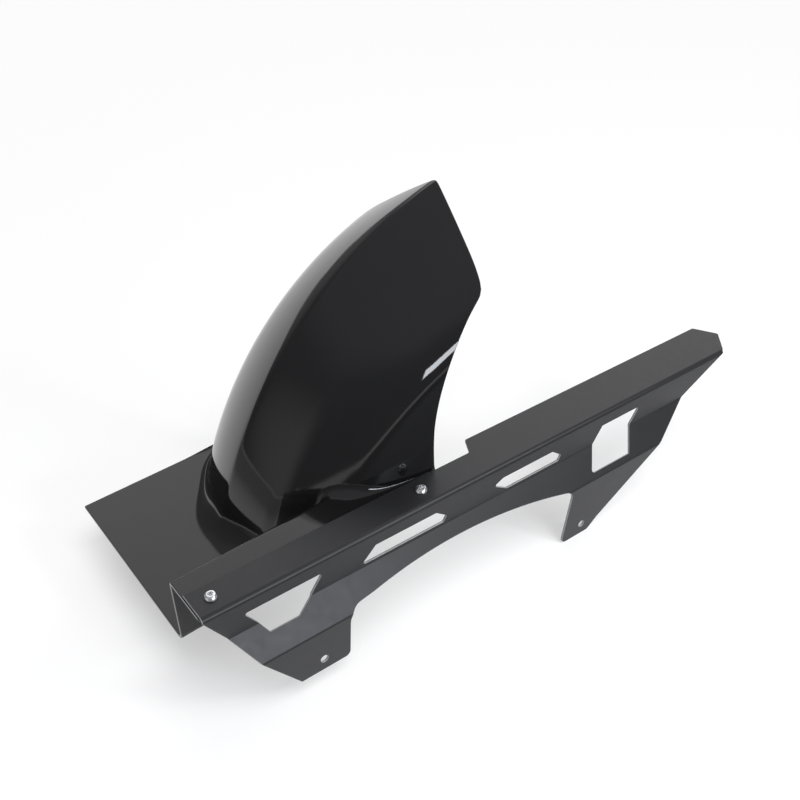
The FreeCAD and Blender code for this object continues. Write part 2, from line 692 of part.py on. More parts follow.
def screw_body(number, back):
    body = new_object("PartDesign::Body", f"button_screw_{number}")
    sketch = new_sketch(body, "turned_profile", "XZ_Plane")
    shank = dim("screw_diameter") / 2
    head = dim("screw_head_diameter") / 2
    draw_outline(sketch, [
        (0, -dim("screw_length")), (shank, -dim("screw_length")), (shank, 0), (head, 0),
        (head, dim("screw_head_rim")), (dim("screw_head_land") / 2, dim("screw_head_height")),
        (0, dim("screw_head_height"))], arcs=[(4, dim("screw_dome_radius"), -1)])
    turned = body.newObject("PartDesign::Revolution", "turned_screw")
    turned.Profile = sketch
    turned.ReferenceAxis = (sketch, ["V_Axis"])
    turned.Angle = 360
    doc.recompute()
    socket = new_sketch(body, "socket_outline", "XY_Plane", dim("screw_head_height"))
    draw_hexagon(socket, dim("screw_socket"))
    pocket = body.newObject("PartDesign::Pocket", "socket")
    pocket.Profile = socket
    bind(pocket, "Length", dim("screw_socket_depth"))
    place(body, -back, -dim("screw_in"), 0)
    return body


def washer_body(number, back):
    body = new_object("PartDesign::Body", f"washer_{number}")
    sketch = new_sketch(body, "ring", "XY_Plane")
    draw_circle(sketch, (0, 0), dim("washer_diameter"))
    draw_circle(sketch, (0, 0), dim("washer_bore"))
    pad(body, sketch, "disc", dim("washer_height"), backwards=True)
    place(body, -back, -dim("screw_in"), -dim("guard_sheet") - dim("shell_wall"))
    return body


def nut_body(number, back):
    body = new_object("PartDesign::Body", f"lock_nut_{number}")
    hexagon = new_sketch(body, "hexagon", "XY_Plane")
    draw_hexagon(hexagon, dim("nut_flats"))
    pad(body, hexagon, "flats", dim("nut_hexagon_height"), backwards=True)
    collar = new_sketch(body, "collar_ring", "XY_Plane", -dim("nut_hexagon_height"))
    draw_circle(collar, (0, 0), dim("nut_collar_diameter"))
    pad(body, collar, "collar", dim("nut_collar_height"), backwards=True)
    bore = new_sketch(body, "bore_circle", "XY_Plane")
    draw_circle(bore, (0, 0), dim("screw_diameter"))
    cut_through(body, bore, "bore")
    place(body, -back, -dim("screw_in"), -dim("guard_sheet") - dim("shell_wall") - dim("washer_height"))
    return body


def make_set(label, make_one):
    """One node for the like pieces at both screws."""
    group = new_object("Part::Compound", label)
    group.Links = [make_one(number, back) for number, back in enumerate(screw_backs(), start=1)]
    seat(group)
    return group


pieces = [
    make_hugger_shell(), make_chain_guard(), make_set("button_screws", screw_body),
    make_set("flange_washers", washer_body), make_set("lock_nuts", nut_body)]
doc.recompute()

for item in doc.Objects:
    if {"Invalid", "Error"} & set(item.State):
        raise RuntimeError(f"{item.Label} failed: {item.State}")
for piece in pieces:
    if piece.Shape.isNull() or not piece.Shape.isValid():
        raise RuntimeError(f"{piece.Label} has no valid shape")

os.makedirs("parts", exist_ok=True)
for piece in pieces:
    piece.Shape.exportStep(os.path.join("parts", f"{piece.Label}.step"))
    box = piece.Shape.optimalBoundingBox()
    extent = [round(value, 2) for value in (box.XMin, box.XMax, box.YMin, box.YMax, box.ZMin, box.ZMax)]
    print(piece.Label, len(piece.Shape.Solids), "solids", round(piece.Shape.Volume, 1), "mm3", extent)
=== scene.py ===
"""A motorcycle rear hugger with its chain guard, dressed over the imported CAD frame."""

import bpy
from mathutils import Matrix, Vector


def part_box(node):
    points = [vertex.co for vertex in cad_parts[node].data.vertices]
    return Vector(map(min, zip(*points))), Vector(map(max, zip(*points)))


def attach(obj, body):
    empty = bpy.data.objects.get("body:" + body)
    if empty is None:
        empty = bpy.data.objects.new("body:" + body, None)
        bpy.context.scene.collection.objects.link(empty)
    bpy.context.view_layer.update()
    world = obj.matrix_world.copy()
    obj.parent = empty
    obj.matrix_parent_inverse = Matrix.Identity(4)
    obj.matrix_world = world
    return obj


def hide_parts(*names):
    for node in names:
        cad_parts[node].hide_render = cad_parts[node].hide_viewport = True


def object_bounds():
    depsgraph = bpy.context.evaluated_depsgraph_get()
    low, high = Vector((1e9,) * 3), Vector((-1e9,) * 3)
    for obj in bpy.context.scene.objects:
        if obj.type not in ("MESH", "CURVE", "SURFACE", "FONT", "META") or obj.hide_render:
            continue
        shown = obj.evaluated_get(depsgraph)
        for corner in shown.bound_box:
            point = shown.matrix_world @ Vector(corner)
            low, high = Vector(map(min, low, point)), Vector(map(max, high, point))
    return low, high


bl_info = {
    "name": "Rear Hugger",
    "version": (1, 0, 0),
    "blender": (4, 5, 0),
    "location": "View3D > Sidebar > Hugger",
    "description": "Builds a moulded rear hugger, its folded chain guard, its fasteners and a studio stage",
    "category": "Add Mesh",
}

import math

import bpy
import numpy as np
from bpy.props import FloatProperty, FloatVectorProperty, IntProperty, PointerProperty
from mathutils import Matrix, Vector
from mathutils.geometry import delaunay_2d_cdt

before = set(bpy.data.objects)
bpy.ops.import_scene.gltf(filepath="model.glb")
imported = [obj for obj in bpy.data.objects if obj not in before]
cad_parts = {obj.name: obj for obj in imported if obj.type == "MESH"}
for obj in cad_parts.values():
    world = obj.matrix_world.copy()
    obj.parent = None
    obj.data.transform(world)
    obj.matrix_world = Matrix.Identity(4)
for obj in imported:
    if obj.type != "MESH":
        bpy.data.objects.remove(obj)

MM = 0.001
CAD_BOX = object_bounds()
GUARD_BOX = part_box("chain_guard")
SCREW_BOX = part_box("button_screws")
WASHER_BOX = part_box("flange_washers")
NUT_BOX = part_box("lock_nuts")
PART_MIDDLE = Vector((-0.15, -0.05, 0.05))
NOSE = (0.0, -0.15)


def length(label, millimetres, description):
    """A size that a user may change, shown in the scene's length unit."""
    return FloatProperty(
        name=label, description=description, default=millimetres * MM, unit="LENGTH", precision=4)


def slope(label, ratio, description):
    """A plain ratio that a user may change."""
    return FloatProperty(name=label, description=description, default=ratio)


def colour(label, shade, description):
    """A colour that a user may change."""
    return FloatVectorProperty(
        name=label, description=description, default=shade, subtype="COLOR", size=3, min=0.0, max=1.0)


class HuggerShellSizes(bpy.types.PropertyGroup):
    """Sizes of the moulded shell; "back", "in" and "drop" run from the guard's front outer top corner."""

    wall: length("Wall", 3.0, "Thickness of the moulding")
    edge_round: length("Edge round", 0.5, "Rounding of the moulding's cut edges")
    plate_lead: length("Plate lead", 3.0, "Front edge ahead of the guard")
    plate_drop: length("Plate drop", 63.5, "Flat front plate below the guard's top face")
    plate_right: length("Plate right edge", 241.0, "Plate's right edge in front")
    plate_spread: length("Plate spread", 12.0, "How far the right edge runs out to the rear")
    flange_drop: length("Flange drop", 2.0, "Flange below the guard's top face")
    flange_left: length("Flange left edge", 5.0, "Flange's left edge, inside the guard")
    flange_length: length("Flange length", 227.0, "Rear end of the flange")
    guard_edge: length("Guard edge", 31.0, "Line beside the guard where the hollow fillet has run out")
    step_in: length("Step", 52.0, "Step between plate and flange, in front")
    step_spread: length("Step spread", 12.3, "How far the step runs in to the rear")
    step_bend: length("Step bend", 5.0, "Radius of the step's two bends")
    wheel_back: length("Axle back", 422.3, "Wheel axle behind the guard's front edge")
    wheel_drop: length("Axle drop", 141.4, "Wheel axle below the guard's top face")
    wheel_in: length("Wheel plane", 140.0, "Wheel's middle plane inside the guard")
    spine_radius: length("Spine radius", 351.5, "Spine of the fender about the axle")
    spine_half: length("Spine half width", 14.0, "Strip beside the spine")
    spine_round: length("Spine round", 2.5, "Rounding of the spine's crest")
    roof_half: length("Roof half width", 100.0, "Roof of the fender, on the left")
    skirt_half: length("Skirt half width", 107.0, "Skirt below the shoulder, on the left")
    right_roof_half: length("Right roof half width", 104.0, "Roof of the fender, on the right")
    right_skirt_half: length("Right skirt half width", 107.5, "Skirt below the shoulder, on the right")
    skirt_depth: length("Skirt depth", 74.0, "Skirt below the shoulders")
    hem_half: length("Hem half width", 109.0, "Hem of the skirts")
    hem_depth: length("Hem depth", 124.0, "Hem of the skirts")
    nose_slope: slope("Nose slope", 0.109, "Roof slope beside the spine, at the nose")
    tail_slope: slope("Tail slope", 0.51, "Roof slope beside the spine, at the rear tip")
    nose_curve: slope("Nose curve", 6.1, "Growth of the roof's slope for each metre out, at the nose")
    tail_curve: slope("Tail curve", 1.5, "Growth of the roof's slope for each metre out, at the rear tip")
    left_curve: slope("Left curve", 0.55, "Share of that growth on the left, which is fuller")
    left_corner: length("Left corner", 15.0, "Extra fall of the left shoulder beside the nose")
    plate_flare: length("Plate flare", 18.0, "Hollow radius between fender and plate, before the nose")
    left_flare: length("Left flare", 22.0, "The same, towards the step")
    right_flare: length("Right flare", 7.0, "The same, towards the plate's right edge")
    flange_flare: length("Flange flare", 8.0, "Hollow radius between fender and flange")
    tip_back: length("Tip back", 312.6, "Rear tip of the spine")
    tip_rise: length("Tip rise", 192.6, "Rear tip of the spine above the guard's top face")
    corner_back: length("Corner back", 291.0, "Lower rear corners")
    corner_rise: length("Corner rise", 133.6, "Lower rear corners above the guard's top face")
    rear_corner: length("Rear corner", 20.0, "Rounding of the lower rear corners")
    left_hem_radius: length("Left hem radius", 137.0, "Hollow of the left lower edge")
    right_hem_radius: length("Right hem radius", 235.0, "Hollow of the right lower edge")
    right_hem_back: length("Right hem back", 199.8, "Where the right lower edge meets the plate")
    facet: length("Facet", 2.6, "Spacing of the mesh over the shell")


class ChainGuardSizes(bpy.types.PropertyGroup):
    """Sizes of the folded guard; "back", "in" and "drop" run from its front outer top corner."""

    sheet: length("Sheet", 2.0, "Thickness of the sheet")
    bend: length("Bend", 2.0, "Inside radius of the folds")
    edge_break: length("Edge break", 0.3, "Chamfer of the cut edges")
    lead: length("Lead", 2.7, "How far the front edge comes out over the flange's front edge")
    top_width: length("Top width", 30.5, "Top face in front")
    top_rear_width: length("Top rear width", 46.0, "Top face behind its jog")
    side_height: length("Side height", 30.0, "Upright side")
    splay_out: length("Splay", 18.0, "How far the splayed side leans out")
    splay_drop: length("Splay height", 23.0, "Height of the splayed side")
    tab_corner: length("Tab corner", 5.0, "Corner radius of the tabs")
    top_corner: length("Top corner", 2.5, "Corner radius of the top face")
    window_corner: length("Window corner", 1.5, "Corner radius of the windows")
    window_drop: length("Window drop", 14.2, "Top edge of the windows and slots")
    slot_low: length("Slot low edge", 27.4, "Bottom edge of both slots")
    tab_hole: length("Tab hole", 6.6, "Bore of the tab holes")
    screw_hole: length("Screw hole", 6.6, "Bore of the screw holes")


class FastenerSizes(bpy.types.PropertyGroup):
    """Sizes of the screws, washers and nuts."""

    shank: length("Shank", 6.0, "Screw diameter")
    pitch: length("Pitch", 1.0, "Thread pitch")
    head: length("Head", 10.5, "Button head diameter")
    head_height: length("Head height", 3.3, "Button head height")
    land: length("Land", 5.6, "Flat on top of the head")
    socket: length("Socket", 4.0, "Hexagon socket across flats")
    socket_depth: length("Socket depth", 2.0, "Hexagon socket depth")
    washer_bore: length("Washer bore", 6.4, "Washer inside")
    nut_flats: length("Nut flats", 10.0, "Nut across flats")
    collar: length("Collar", 8.8, "Locking collar of the nut")
    collar_height: length("Collar height", 1.8, "Locking collar of the nut")
    turns: IntProperty(name="Facets round", description="Facets round each turned piece", default=48, min=12)


class FinishColours(bpy.types.PropertyGroup):
    """Colours of the finishes."""

    gloss_black: colour("Gloss black", (0.0065, 0.0065, 0.007), "Moulded shell outside")
    grained_black: colour("Grained black", (0.014, 0.014, 0.015), "Moulded shell inside")
    satin_black: colour("Satin black", (0.013, 0.0132, 0.015), "Coated guard")
    # Painted highlight: a lighter grey on the guard's cut edges, standing in for the bright lines that the
    # edges catch
    highlight_edge_grey: colour("Cut edge", (0.34, 0.34, 0.35), "Thinly coated cut edges of the guard")
    bright_steel: colour("Bright steel", (0.84, 0.85, 0.87), "Plated fasteners")
    floor: colour("Floor", (0.82, 0.82, 0.82), "Studio floor")


# Shared helpers

def guard_corner():
    """The guard's front outer top corner, from which back, in and drop are measured."""
    high = GUARD_BOX[1]
    return Vector((high.x, high.y - bpy.context.scene.hugger_guard.splay_out, high.z))


def new_piece(name, vertices, faces, materials, face_materials=None):
    """A mesh object at the origin, its faces smooth, with its materials."""
    mesh = bpy.data.meshes.new(name)
    mesh.from_pydata(vertices, [], faces)
    mesh.validate()
    piece = bpy.data.objects.new(name, mesh)
    bpy.context.scene.collection.objects.link(piece)
    for material in materials:
        mesh.materials.append(material)
    if face_materials is not None:
        mesh.polygons.foreach_set("material_index", face_materials)
    mesh.polygons.foreach_set("use_smooth", [True] * len(mesh.polygons))
    mesh.update()
    return piece


def bake_modifiers(piece):
    """Turns the piece and its modifiers into one plain mesh."""
    graph = bpy.context.evaluated_depsgraph_get()
    mesh = bpy.data.meshes.new_from_object(piece.evaluated_get(graph))
    mesh.name = piece.name
    piece.modifiers.clear()
    piece.data = mesh


def hand_over(piece, node):
    """Puts a finished piece in the place of a CAD node."""
    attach(piece, "root")
    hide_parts(node)


# Materials

class Nodes:
    """A node tree and a short way to add and link its nodes."""

    def __init__(self, tree):
        self.tree = tree

    def add(self, kind, links=(), **settings):
        """Adds a node; a setting is a property of the node or, with _ for a space, one of its sockets."""
        node = self.tree.nodes.new(kind)
        for name, value in settings.items():
            if name in node.bl_rna.properties:
                setattr(node, name, value)
            else:
                node.inputs[name.replace("_", " ")].default_value = value
        for socket, source in dict(links).items():
            self.tree.links.new(source, node.inputs[socket])
        return node


class Shader(Nodes):
    """A principled material and its patterns."""

    def __init__(self, name, **sockets):
        self.material = bpy.data.materials.new(name)
        self.material.use_nodes = True
        super().__init__(self.material.node_tree)
        self.surface = self.tree.nodes["Principled BSDF"]
        for socket, value in sockets.items():
            self.surface.inputs[socket.replace("_", " ")].default_value = value
        self.place = self.add("ShaderNodeTexCoord").outputs["Object"]

    def noise(self, scale, detail=3.0, stretch=None):
        place = self.place
        if stretch is not None:
            place = self.add("ShaderNodeMapping", {"Vector": place}, Scale=stretch).outputs["Vector"]
        node = self.add("ShaderNodeTexNoise", {"Vector": place}, Scale=scale, Detail=detail)
        return node.outputs["Fac"]

    def paint(self, shade, pattern, dark, light):
        """Spreads a pattern over the base colour, from a dark to a light tone of a shade."""
        node = self.add("ShaderNodeMix", {"Factor": pattern}, data_type="RGBA")
        for socket, tone in (("A", dark), ("B", light)):
            node.inputs[socket].default_value = (*(channel * tone for channel in shade), 1.0)
        self.feed("Base Color", node.outputs["Result"])

    def polish(self, pattern, low, high):
        """Spreads a pattern over the roughness, between two numbers."""
        node = self.add("ShaderNodeMapRange", {"Value": pattern}, To_Min=low, To_Max=high)
        self.feed("Roughness", node.outputs["Result"])

    def feed(self, socket, source):
        self.tree.links.new(source, self.surface.inputs[socket])

    def bump(self, height, distance, strength=1.0, under=None):
        links = {"Height": height}
        if under is not None:
            links["Normal"] = under
        return self.add("ShaderNodeBump", links, Distance=distance, Strength=strength).outputs["Normal"]


def gloss_black_abs():
    """Polished black moulding: deep gloss, the faint waviness of a moulded face and a little dust haze."""
    shader = Shader("gloss_black_abs", IOR=1.5)
    shader.paint(bpy.context.scene.hugger_colours.gloss_black, shader.noise(9.0), 0.8, 1.3)
    shader.polish(shader.noise(34.0, 5.0), 0.035, 0.075)
    waves = shader.bump(shader.noise(22.0, 1.0), 0.0006, 0.25)
    shader.feed("Normal", shader.bump(shader.noise(900.0, 2.0), 0.00002, 0.25, waves))
    return shader.material


def grained_black_abs():
    """The moulding's inner face: the same black, left with the mould's fine grain."""
    shader = Shader("grained_black_abs", IOR=1.5)
    shader.paint(bpy.context.scene.hugger_colours.grained_black, shader.noise(60.0), 0.75, 1.35)
    shader.polish(shader.noise(240.0), 0.38, 0.55)
    shader.feed("Normal", shader.bump(shader.noise(1500.0, 2.0), 0.0001, 0.6))
    return shader.material


def satin_black_coat():
    """Satin coat on aluminium sheet: a fine even grain with faint cloudiness."""
    shader = Shader("satin_black_coat", IOR=1.52)
    shader.paint(bpy.context.scene.hugger_colours.satin_black, shader.noise(30.0, 4.0), 0.85, 1.2)
    shader.polish(shader.noise(120.0, 4.0), 0.35, 0.46)
    shader.feed("Normal", shader.bump(shader.noise(2600.0, 2.0), 0.00004, 0.5))
    return shader.material


def coated_cut_edge():
    """Cut edges of the sheet in a lighter grey than the coat: a painted highlight for the bright lines that
    the edges catch.
    """
    shader = Shader("coated_cut_edge", IOR=1.5)
    shader.paint(bpy.context.scene.hugger_colours.highlight_edge_grey, shader.noise(260.0, 4.0), 0.6, 1.2)
    shader.polish(shader.noise(400.0), 0.25, 0.4)
    return shader.material


def bright_plated_steel():
    """Bright zinc plating with fine turning marks."""
    shader = Shader("bright_plated_steel", Metallic=1.0)
    shader.paint(bpy.context.scene.hugger_colours.bright_steel, shader.noise(500.0, 4.0), 0.85, 1.15)
    shader.polish(shader.noise(900.0, 3.0), 0.2, 0.34)
    marks = shader.noise(400.0, 2.0, stretch=(1.0, 1.0, 12.0))
    shader.feed("Normal", shader.bump(marks, 0.00003, 0.4))
    return shader.material


# Moulded shell: the fender's arch and the stepped base as distances, blended and meshed row by row

def cubic_basis(poles, samples):
    """Weights of a clamped uniform cubic spline's poles at evenly spaced places."""
    degree = 3
    knots = np.concatenate([np.zeros(degree), np.linspace(0, 1, poles - degree + 1), np.ones(degree)])
    place = np.linspace(0, 1, samples)
    weights = ((knots[:-1] <= place[:, None]) & (place[:, None] < knots[1:])).astype(float)
    weights[-1, poles - 1] = 1.0
    for order in range(1, degree + 1):
        raised = np.zeros((samples, weights.shape[1] - 1))
        for number in range(raised.shape[1]):
            rise = knots[number + order] - knots[number]
            fall = knots[number + order + 1] - knots[number + 1]
            if rise > 0:
                raised[:, number] += (place - knots[number]) / rise * weights[:, number]
            if fall > 0:
                raised[:, number] += (knots[number + order + 1] - place) / fall * weights[:, number + 1]
        weights = raised
    return weights


def filleted(first, second, radius):
    """The lesser of two distances, with a hollow fillet where both are less than its radius."""
    hollow = np.hypot(np.maximum(radius - first, 0.0), np.maximum(radius - second, 0.0))
    return np.maximum(radius, np.minimum(first, second)) - hollow


def eased(low, high, value):
    """0 below low, 1 above high and smooth between."""
    share = np.clip((value - low) / (high - low), 0.0, 1.0)
    return share * share * (3 - 2 * share)


class RoofSection:
    """Half of the fender's cross-section: how far roof and skirt fall below the spine, by width."""

    SAMPLES = 8001

    def __init__(self, sizes, roof_half, skirt_half):
        middle = (sizes.spine_half + roof_half) / 2
        widths = [0.0, sizes.spine_half, middle, roof_half, skirt_half, sizes.hem_half]
        skirts = [0.0, 0.0, 0.0, 0.0, sizes.skirt_depth, sizes.hem_depth]
        basis = cubic_basis(2 * len(widths) - 1, self.SAMPLES)[self.SAMPLES // 2:]

        def whole(values, mirror):
            return np.array([value * mirror for value in values[:0:-1]] + values)

        self.widths = basis @ whole(widths, -1)
        crest = np.hypot(self.widths, sizes.spine_round) - sizes.spine_round
        roof = basis @ whole([1.0, 1.0, 1.0, 1.0, 0.0, 0.0], 1)
        self.drops = [roof * crest, roof * crest ** 2 / 2, basis @ whole(skirts, 1)]
        self.steeps = [np.gradient(drop, self.widths) for drop in self.drops]

    def fall(self, half, gable, curve):
        """Drop and steepness at a distance from the middle."""
        parts = (gable, curve, 1.0)
        drop = sum(part * np.interp(half, self.widths, values) for part, values in zip(parts, self.drops))
        steep = sum(part * np.interp(half, self.widths, values) for part, values in zip(parts, self.steeps))
        return np.stack([drop + np.maximum(half - self.widths[-1], 0.0) * steep, steep])


class ShellForm:
    """The shell's outer face, as a function of back, left and up from the guard's corner."""

    # How far left of the wheel's plane the hollow radius and the left corner's fall change
    LEFT_FLARE_SPAN = (0.0, 0.03)
    RIGHT_FLARE_SPAN = (-0.015, -0.075)
    CORNER_SPAN = (0.045, 0.09)
    # Shares of the way from nose to tip over which the corner's fall comes in
    CORNER_WAY = (0.65, 0.2)
    LEAST_FLARE = 0.04
    LEAST_STEEPNESS = 0.25
    HALVINGS = 34
    NUDGE = 1e-5

    def __init__(self, sizes):
        self.sizes = sizes
        self.left_section = RoofSection(sizes, sizes.roof_half, sizes.skirt_half)
        self.right_section = RoofSection(sizes, sizes.right_roof_half, sizes.right_skirt_half)
        self.nose_angle = math.asin((sizes.wheel_drop - sizes.plate_drop) / sizes.spine_radius)
        self.tip_angle = math.atan2(sizes.tip_rise + sizes.wheel_drop, sizes.wheel_back - sizes.tip_back)

    def from_arch(self, back, left, up):
        """Distance outside the fender's arch, whose roof is round at the nose and gabled at the tail."""
        sizes = self.sizes
        ahead = sizes.wheel_back - back
        above = up + sizes.wheel_drop
        half = np.abs(left + sizes.wheel_in)
        way = (np.arctan2(above, ahead) - self.nose_angle) / (self.tip_angle - self.nose_angle)
        gable = sizes.nose_slope + (sizes.tail_slope - sizes.nose_slope) * way
        curve = sizes.nose_curve + (sizes.tail_curve - sizes.nose_curve) * way
        drop, steep = np.where(left < -sizes.wheel_in, self.right_section.fall(half, gable, curve),
                               self.left_section.fall(half, gable, curve * sizes.left_curve))
        corner = eased(*self.CORNER_SPAN, left + sizes.wheel_in) * eased(*self.CORNER_WAY, way)
        drop = drop + sizes.left_corner * corner
        return (np.hypot(ahead, above) - sizes.spine_radius + drop) / np.sqrt(1 + steep ** 2)

    def along_plate(self, back):
        """Share of the way from the plate's front edge to the flange's rear end."""
        return (back + self.sizes.plate_lead) / (self.sizes.plate_lead + self.sizes.flange_length)

    def step_line(self, back):
        return -self.sizes.step_in - self.sizes.step_spread * self.along_plate(back)

    def right_edge(self, back):
        return -self.sizes.plate_right - self.sizes.plate_spread * self.along_plate(back)

    def from_base(self, back, left, up):
        """Distance outside the plate, the step and the flange."""
        sizes = self.sizes
        flange = -filleted(-(up + sizes.flange_drop), left - self.step_line(back), sizes.step_bend)
        return filleted(up + sizes.plate_drop, flange, sizes.step_bend)

    def outside(self, back, left, up):
        """Distance outside the whole shell, with hollow fillets round the fender's foot."""
        sizes = self.sizes
        raised = eased(-sizes.plate_drop, -sizes.flange_drop, up)
        side = left + sizes.wheel_in
        flare = sizes.plate_flare
        flare = flare + (sizes.left_flare - sizes.plate_flare) * eased(*self.LEFT_FLARE_SPAN, side)
        flare = flare + (sizes.right_flare - sizes.plate_flare) * eased(*self.RIGHT_FLARE_SPAN, side)
        flare = flare + (sizes.flange_flare - flare) * raised
        beside = eased(-sizes.guard_edge, -sizes.guard_edge - 2 * sizes.flange_flare, left)
        room = self.LEAST_FLARE + (1 - self.LEAST_FLARE) * beside
        return filleted(self.from_arch(back, left, up), self.from_base(back, left, up), flare * room)

    def settle(self, points, rounds=4):
        """Moves points onto the outer face along its slope."""
        points = points.copy()
        for _ in range(rounds):
            here = self.outside(*np.moveaxis(points, -1, 0))
            slopes = []
            for axis in range(3):
                ahead = points.copy()
                ahead[..., axis] += self.NUDGE
                slopes.append((self.outside(*np.moveaxis(ahead, -1, 0)) - here) / self.NUDGE)
            slopes = np.stack(slopes, axis=-1)
            steepness = np.maximum((slopes ** 2).sum(-1, keepdims=True), self.LEAST_STEEPNESS)
            points -= slopes * (here[..., None] / steepness)
        return points

    def heights(self, foot, lean, left):
        """Height of the outer face over a row, which leans back from its foot by a share of the height."""
        below, beyond = 0.01, 0.05
        low = np.full(left.shape, -self.sizes.plate_drop - below)
        high = np.full(left.shape, self.sizes.tip_rise + beyond)
        for _ in range(self.HALVINGS):
            middle = (low + high) / 2
            inside = self.outside(foot + lean * middle, left, middle) < 0
            low = np.where(inside, middle, low)
            high = np.where(inside, high, middle)
        return (low + high) / 2

    def along_hem(self, radius, start, low, shares):
        """Back and up of places along a hem: upright from the base, hollow, then round into the rear edge."""
        sizes = self.sizes
        corner = np.array([sizes.corner_back, sizes.corner_rise])
        rear = np.array([sizes.tip_back, sizes.tip_rise]) - corner
        rear = rear / np.linalg.norm(rear)
        ahead = np.array([-rear[1], rear[0]])
        sunk = math.sqrt(radius ** 2 - (start + radius - corner[0]) ** 2)
        centre = np.array([start + radius, corner[1] - sunk])
        arm = corner + ahead * sizes.rear_corner - centre
        reach = radius + sizes.rear_corner
        slide = -arm @ rear + math.sqrt((arm @ rear) ** 2 - arm @ arm + reach ** 2)
        round_centre = corner + ahead * sizes.rear_corner + rear * slide
        arm = round_centre - centre
        sweep = math.atan2(arm[1], -arm[0])
        turn = math.acos(np.clip(arm @ ahead / reach, -1.0, 1.0))
        upright = max(centre[1] - low, 0.0)
        run = shares * (upright + radius * sweep + sizes.rear_corner * turn)
        hollow = np.clip((run - upright) / radius, 0.0, sweep)
        last = np.clip((run - upright - radius * sweep) / sizes.rear_corner, 0.0, turn)
        back = centre[0] - radius * np.cos(hollow)
        up = np.where(run < upright, low + run, centre[1] + radius * np.sin(hollow))
        begin = math.atan2(-arm[1], -arm[0])
        rounded_back = round_centre[0] + sizes.rear_corner * np.cos(begin + last)
        rounded_up = round_centre[1] + sizes.rear_corner * np.sin(begin + last)
        return np.where(last > 0, rounded_back, back), np.where(last > 0, rounded_up, up)

    def normals(self, points):
        """Directions straight out of the outer face."""
        slopes = np.stack([self.outside(*np.moveaxis(points + step, -1, 0))
                           - self.outside(*np.moveaxis(points - step, -1, 0))
                           for step in np.eye(3) * self.NUDGE], axis=-1)
        return slopes / np.linalg.norm(slopes, axis=-1, keepdims=True)


def evenly(points, weight, count):
    """Places count points along a line of points, evenly by length times weight."""
    steps = np.linalg.norm(np.diff(points, axis=0), axis=1) * weight
    run = np.concatenate([[0.0], np.cumsum(steps)])
    places = np.linspace(0.0, run[-1], count)
    return np.stack([np.interp(places, run, points[:, axis]) for axis in range(3)], axis=1)


def bend_weight(points, pull):
    """More weight where a line of points bends, up to a limit."""
    window, most = 41, 200.0
    ways = np.diff(points, axis=0)
    runs = np.maximum(np.linalg.norm(ways, axis=1), 1e-9)
    ways = ways / runs[:, None]
    turn = np.linalg.norm(np.diff(ways, axis=0), axis=1)
    turn = np.concatenate([[0.0], turn, [0.0]])
    spread = (turn[:-1] + turn[1:]) / 2
    kernel = np.hanning(window)
    smooth = np.convolve(spread, kernel, "same") / np.maximum(np.convolve(runs, kernel, "same"), 1e-9)
    return 1.0 + pull * np.minimum(smooth, most)


def spine_line(form):
    """Points along the spine, from the plate's front edge to the rear tip, denser where it bends."""
    sizes = form.sizes
    samples, pull = 1500, 0.006
    stops = (-sizes.plate_lead, sizes.right_hem_back, sizes.flange_length, sizes.tip_back)
    line = np.empty((0, 3))
    for start, end in zip(stops, stops[1:]):
        back = np.linspace(start, end, samples)
        middle = np.full(back.shape, -sizes.wheel_in)
        stretch = np.stack([back, middle, form.heights(back, 0.0, middle)], axis=1)
        run = np.linalg.norm(np.diff(stretch, axis=0), axis=1).sum()
        places = evenly(stretch, bend_weight(stretch, pull), int(run / sizes.facet))
        line = np.vstack([line, places[1:] if len(line) else places])
    return line


def cut_line(line, keep):
    """Keeps a line's first stretch, up to where keep turns negative."""
    lost = np.nonzero(keep < 0)[0]
    if len(lost) == 0:
        return line
    last = lost[0]
    share = keep[last - 1] / (keep[last - 1] - keep[last])
    return np.vstack([line[:last], line[last - 1] + (line[last] - line[last - 1]) * share])


def shell_half(form, spine, edge, radius, start, low):
    """Rows of points from the spine out to an edge in plan, then fanned back along a hem."""
    sizes = form.sizes
    samples, pull, thinned, rounds = 900, 0.012, 0.95, 15
    columns = int((sizes.hem_half + sizes.hem_depth) / sizes.facet * thinned)
    fanned = spine[:, 0] > start + 1e-6
    run = np.concatenate([[0.0], np.cumsum(np.linalg.norm(np.diff(spine, axis=0), axis=1))])
    begin = run[~fanned][-1]
    hem_back, hem_up = form.along_hem(radius, start, low, np.maximum(run - begin, 0.0) / (run[-1] - begin))
    leans = np.where(fanned, (spine[:, 0] - hem_back) / (spine[:, 2] - hem_up), 0.0)
    spread = np.linspace(0.0, 1.0, samples)
    grid = []
    for place, lean, end in zip(spine, leans, np.where(fanned, hem_up, -1.0)):
        foot = place[0] - lean * place[2]
        left = -sizes.wheel_in + (edge(foot) + sizes.wheel_in) * spread
        up = form.heights(foot, lean, left)
        line = np.stack([foot + lean * up, left, up], axis=1)
        line = cut_line(line, up - end)
        grid.append(evenly(line, bend_weight(line, pull), columns))
    grid = np.array(grid)
    grid[:, 0] = spine
    return relax(form, grid, rounds)


def relax(form, grid, rounds):
    """Evens out a grid's inner points over the outer face, its rim left alone."""
    pull, last_rounds = 0.5, 3
    for _ in range(rounds):
        inner = grid[1:-1, 1:-1]
        mean = (grid[:-2, 1:-1] + grid[2:, 1:-1] + grid[1:-1, :-2] + grid[1:-1, 2:]) / 4
        grid[1:-1, 1:-1] = form.settle(inner + (mean - inner) * pull, 1)
    grid[1:-1, 1:-1] = form.settle(grid[1:-1, 1:-1], last_rounds)
    return grid


def quads_over(numbers):
    """Quads over a table of point numbers, facing out of the shell."""
    quads = np.stack([numbers[:-1, :-1], numbers[:-1, 1:], numbers[1:, 1:], numbers[1:, :-1]], axis=-1)
    return quads.reshape(-1, 4)


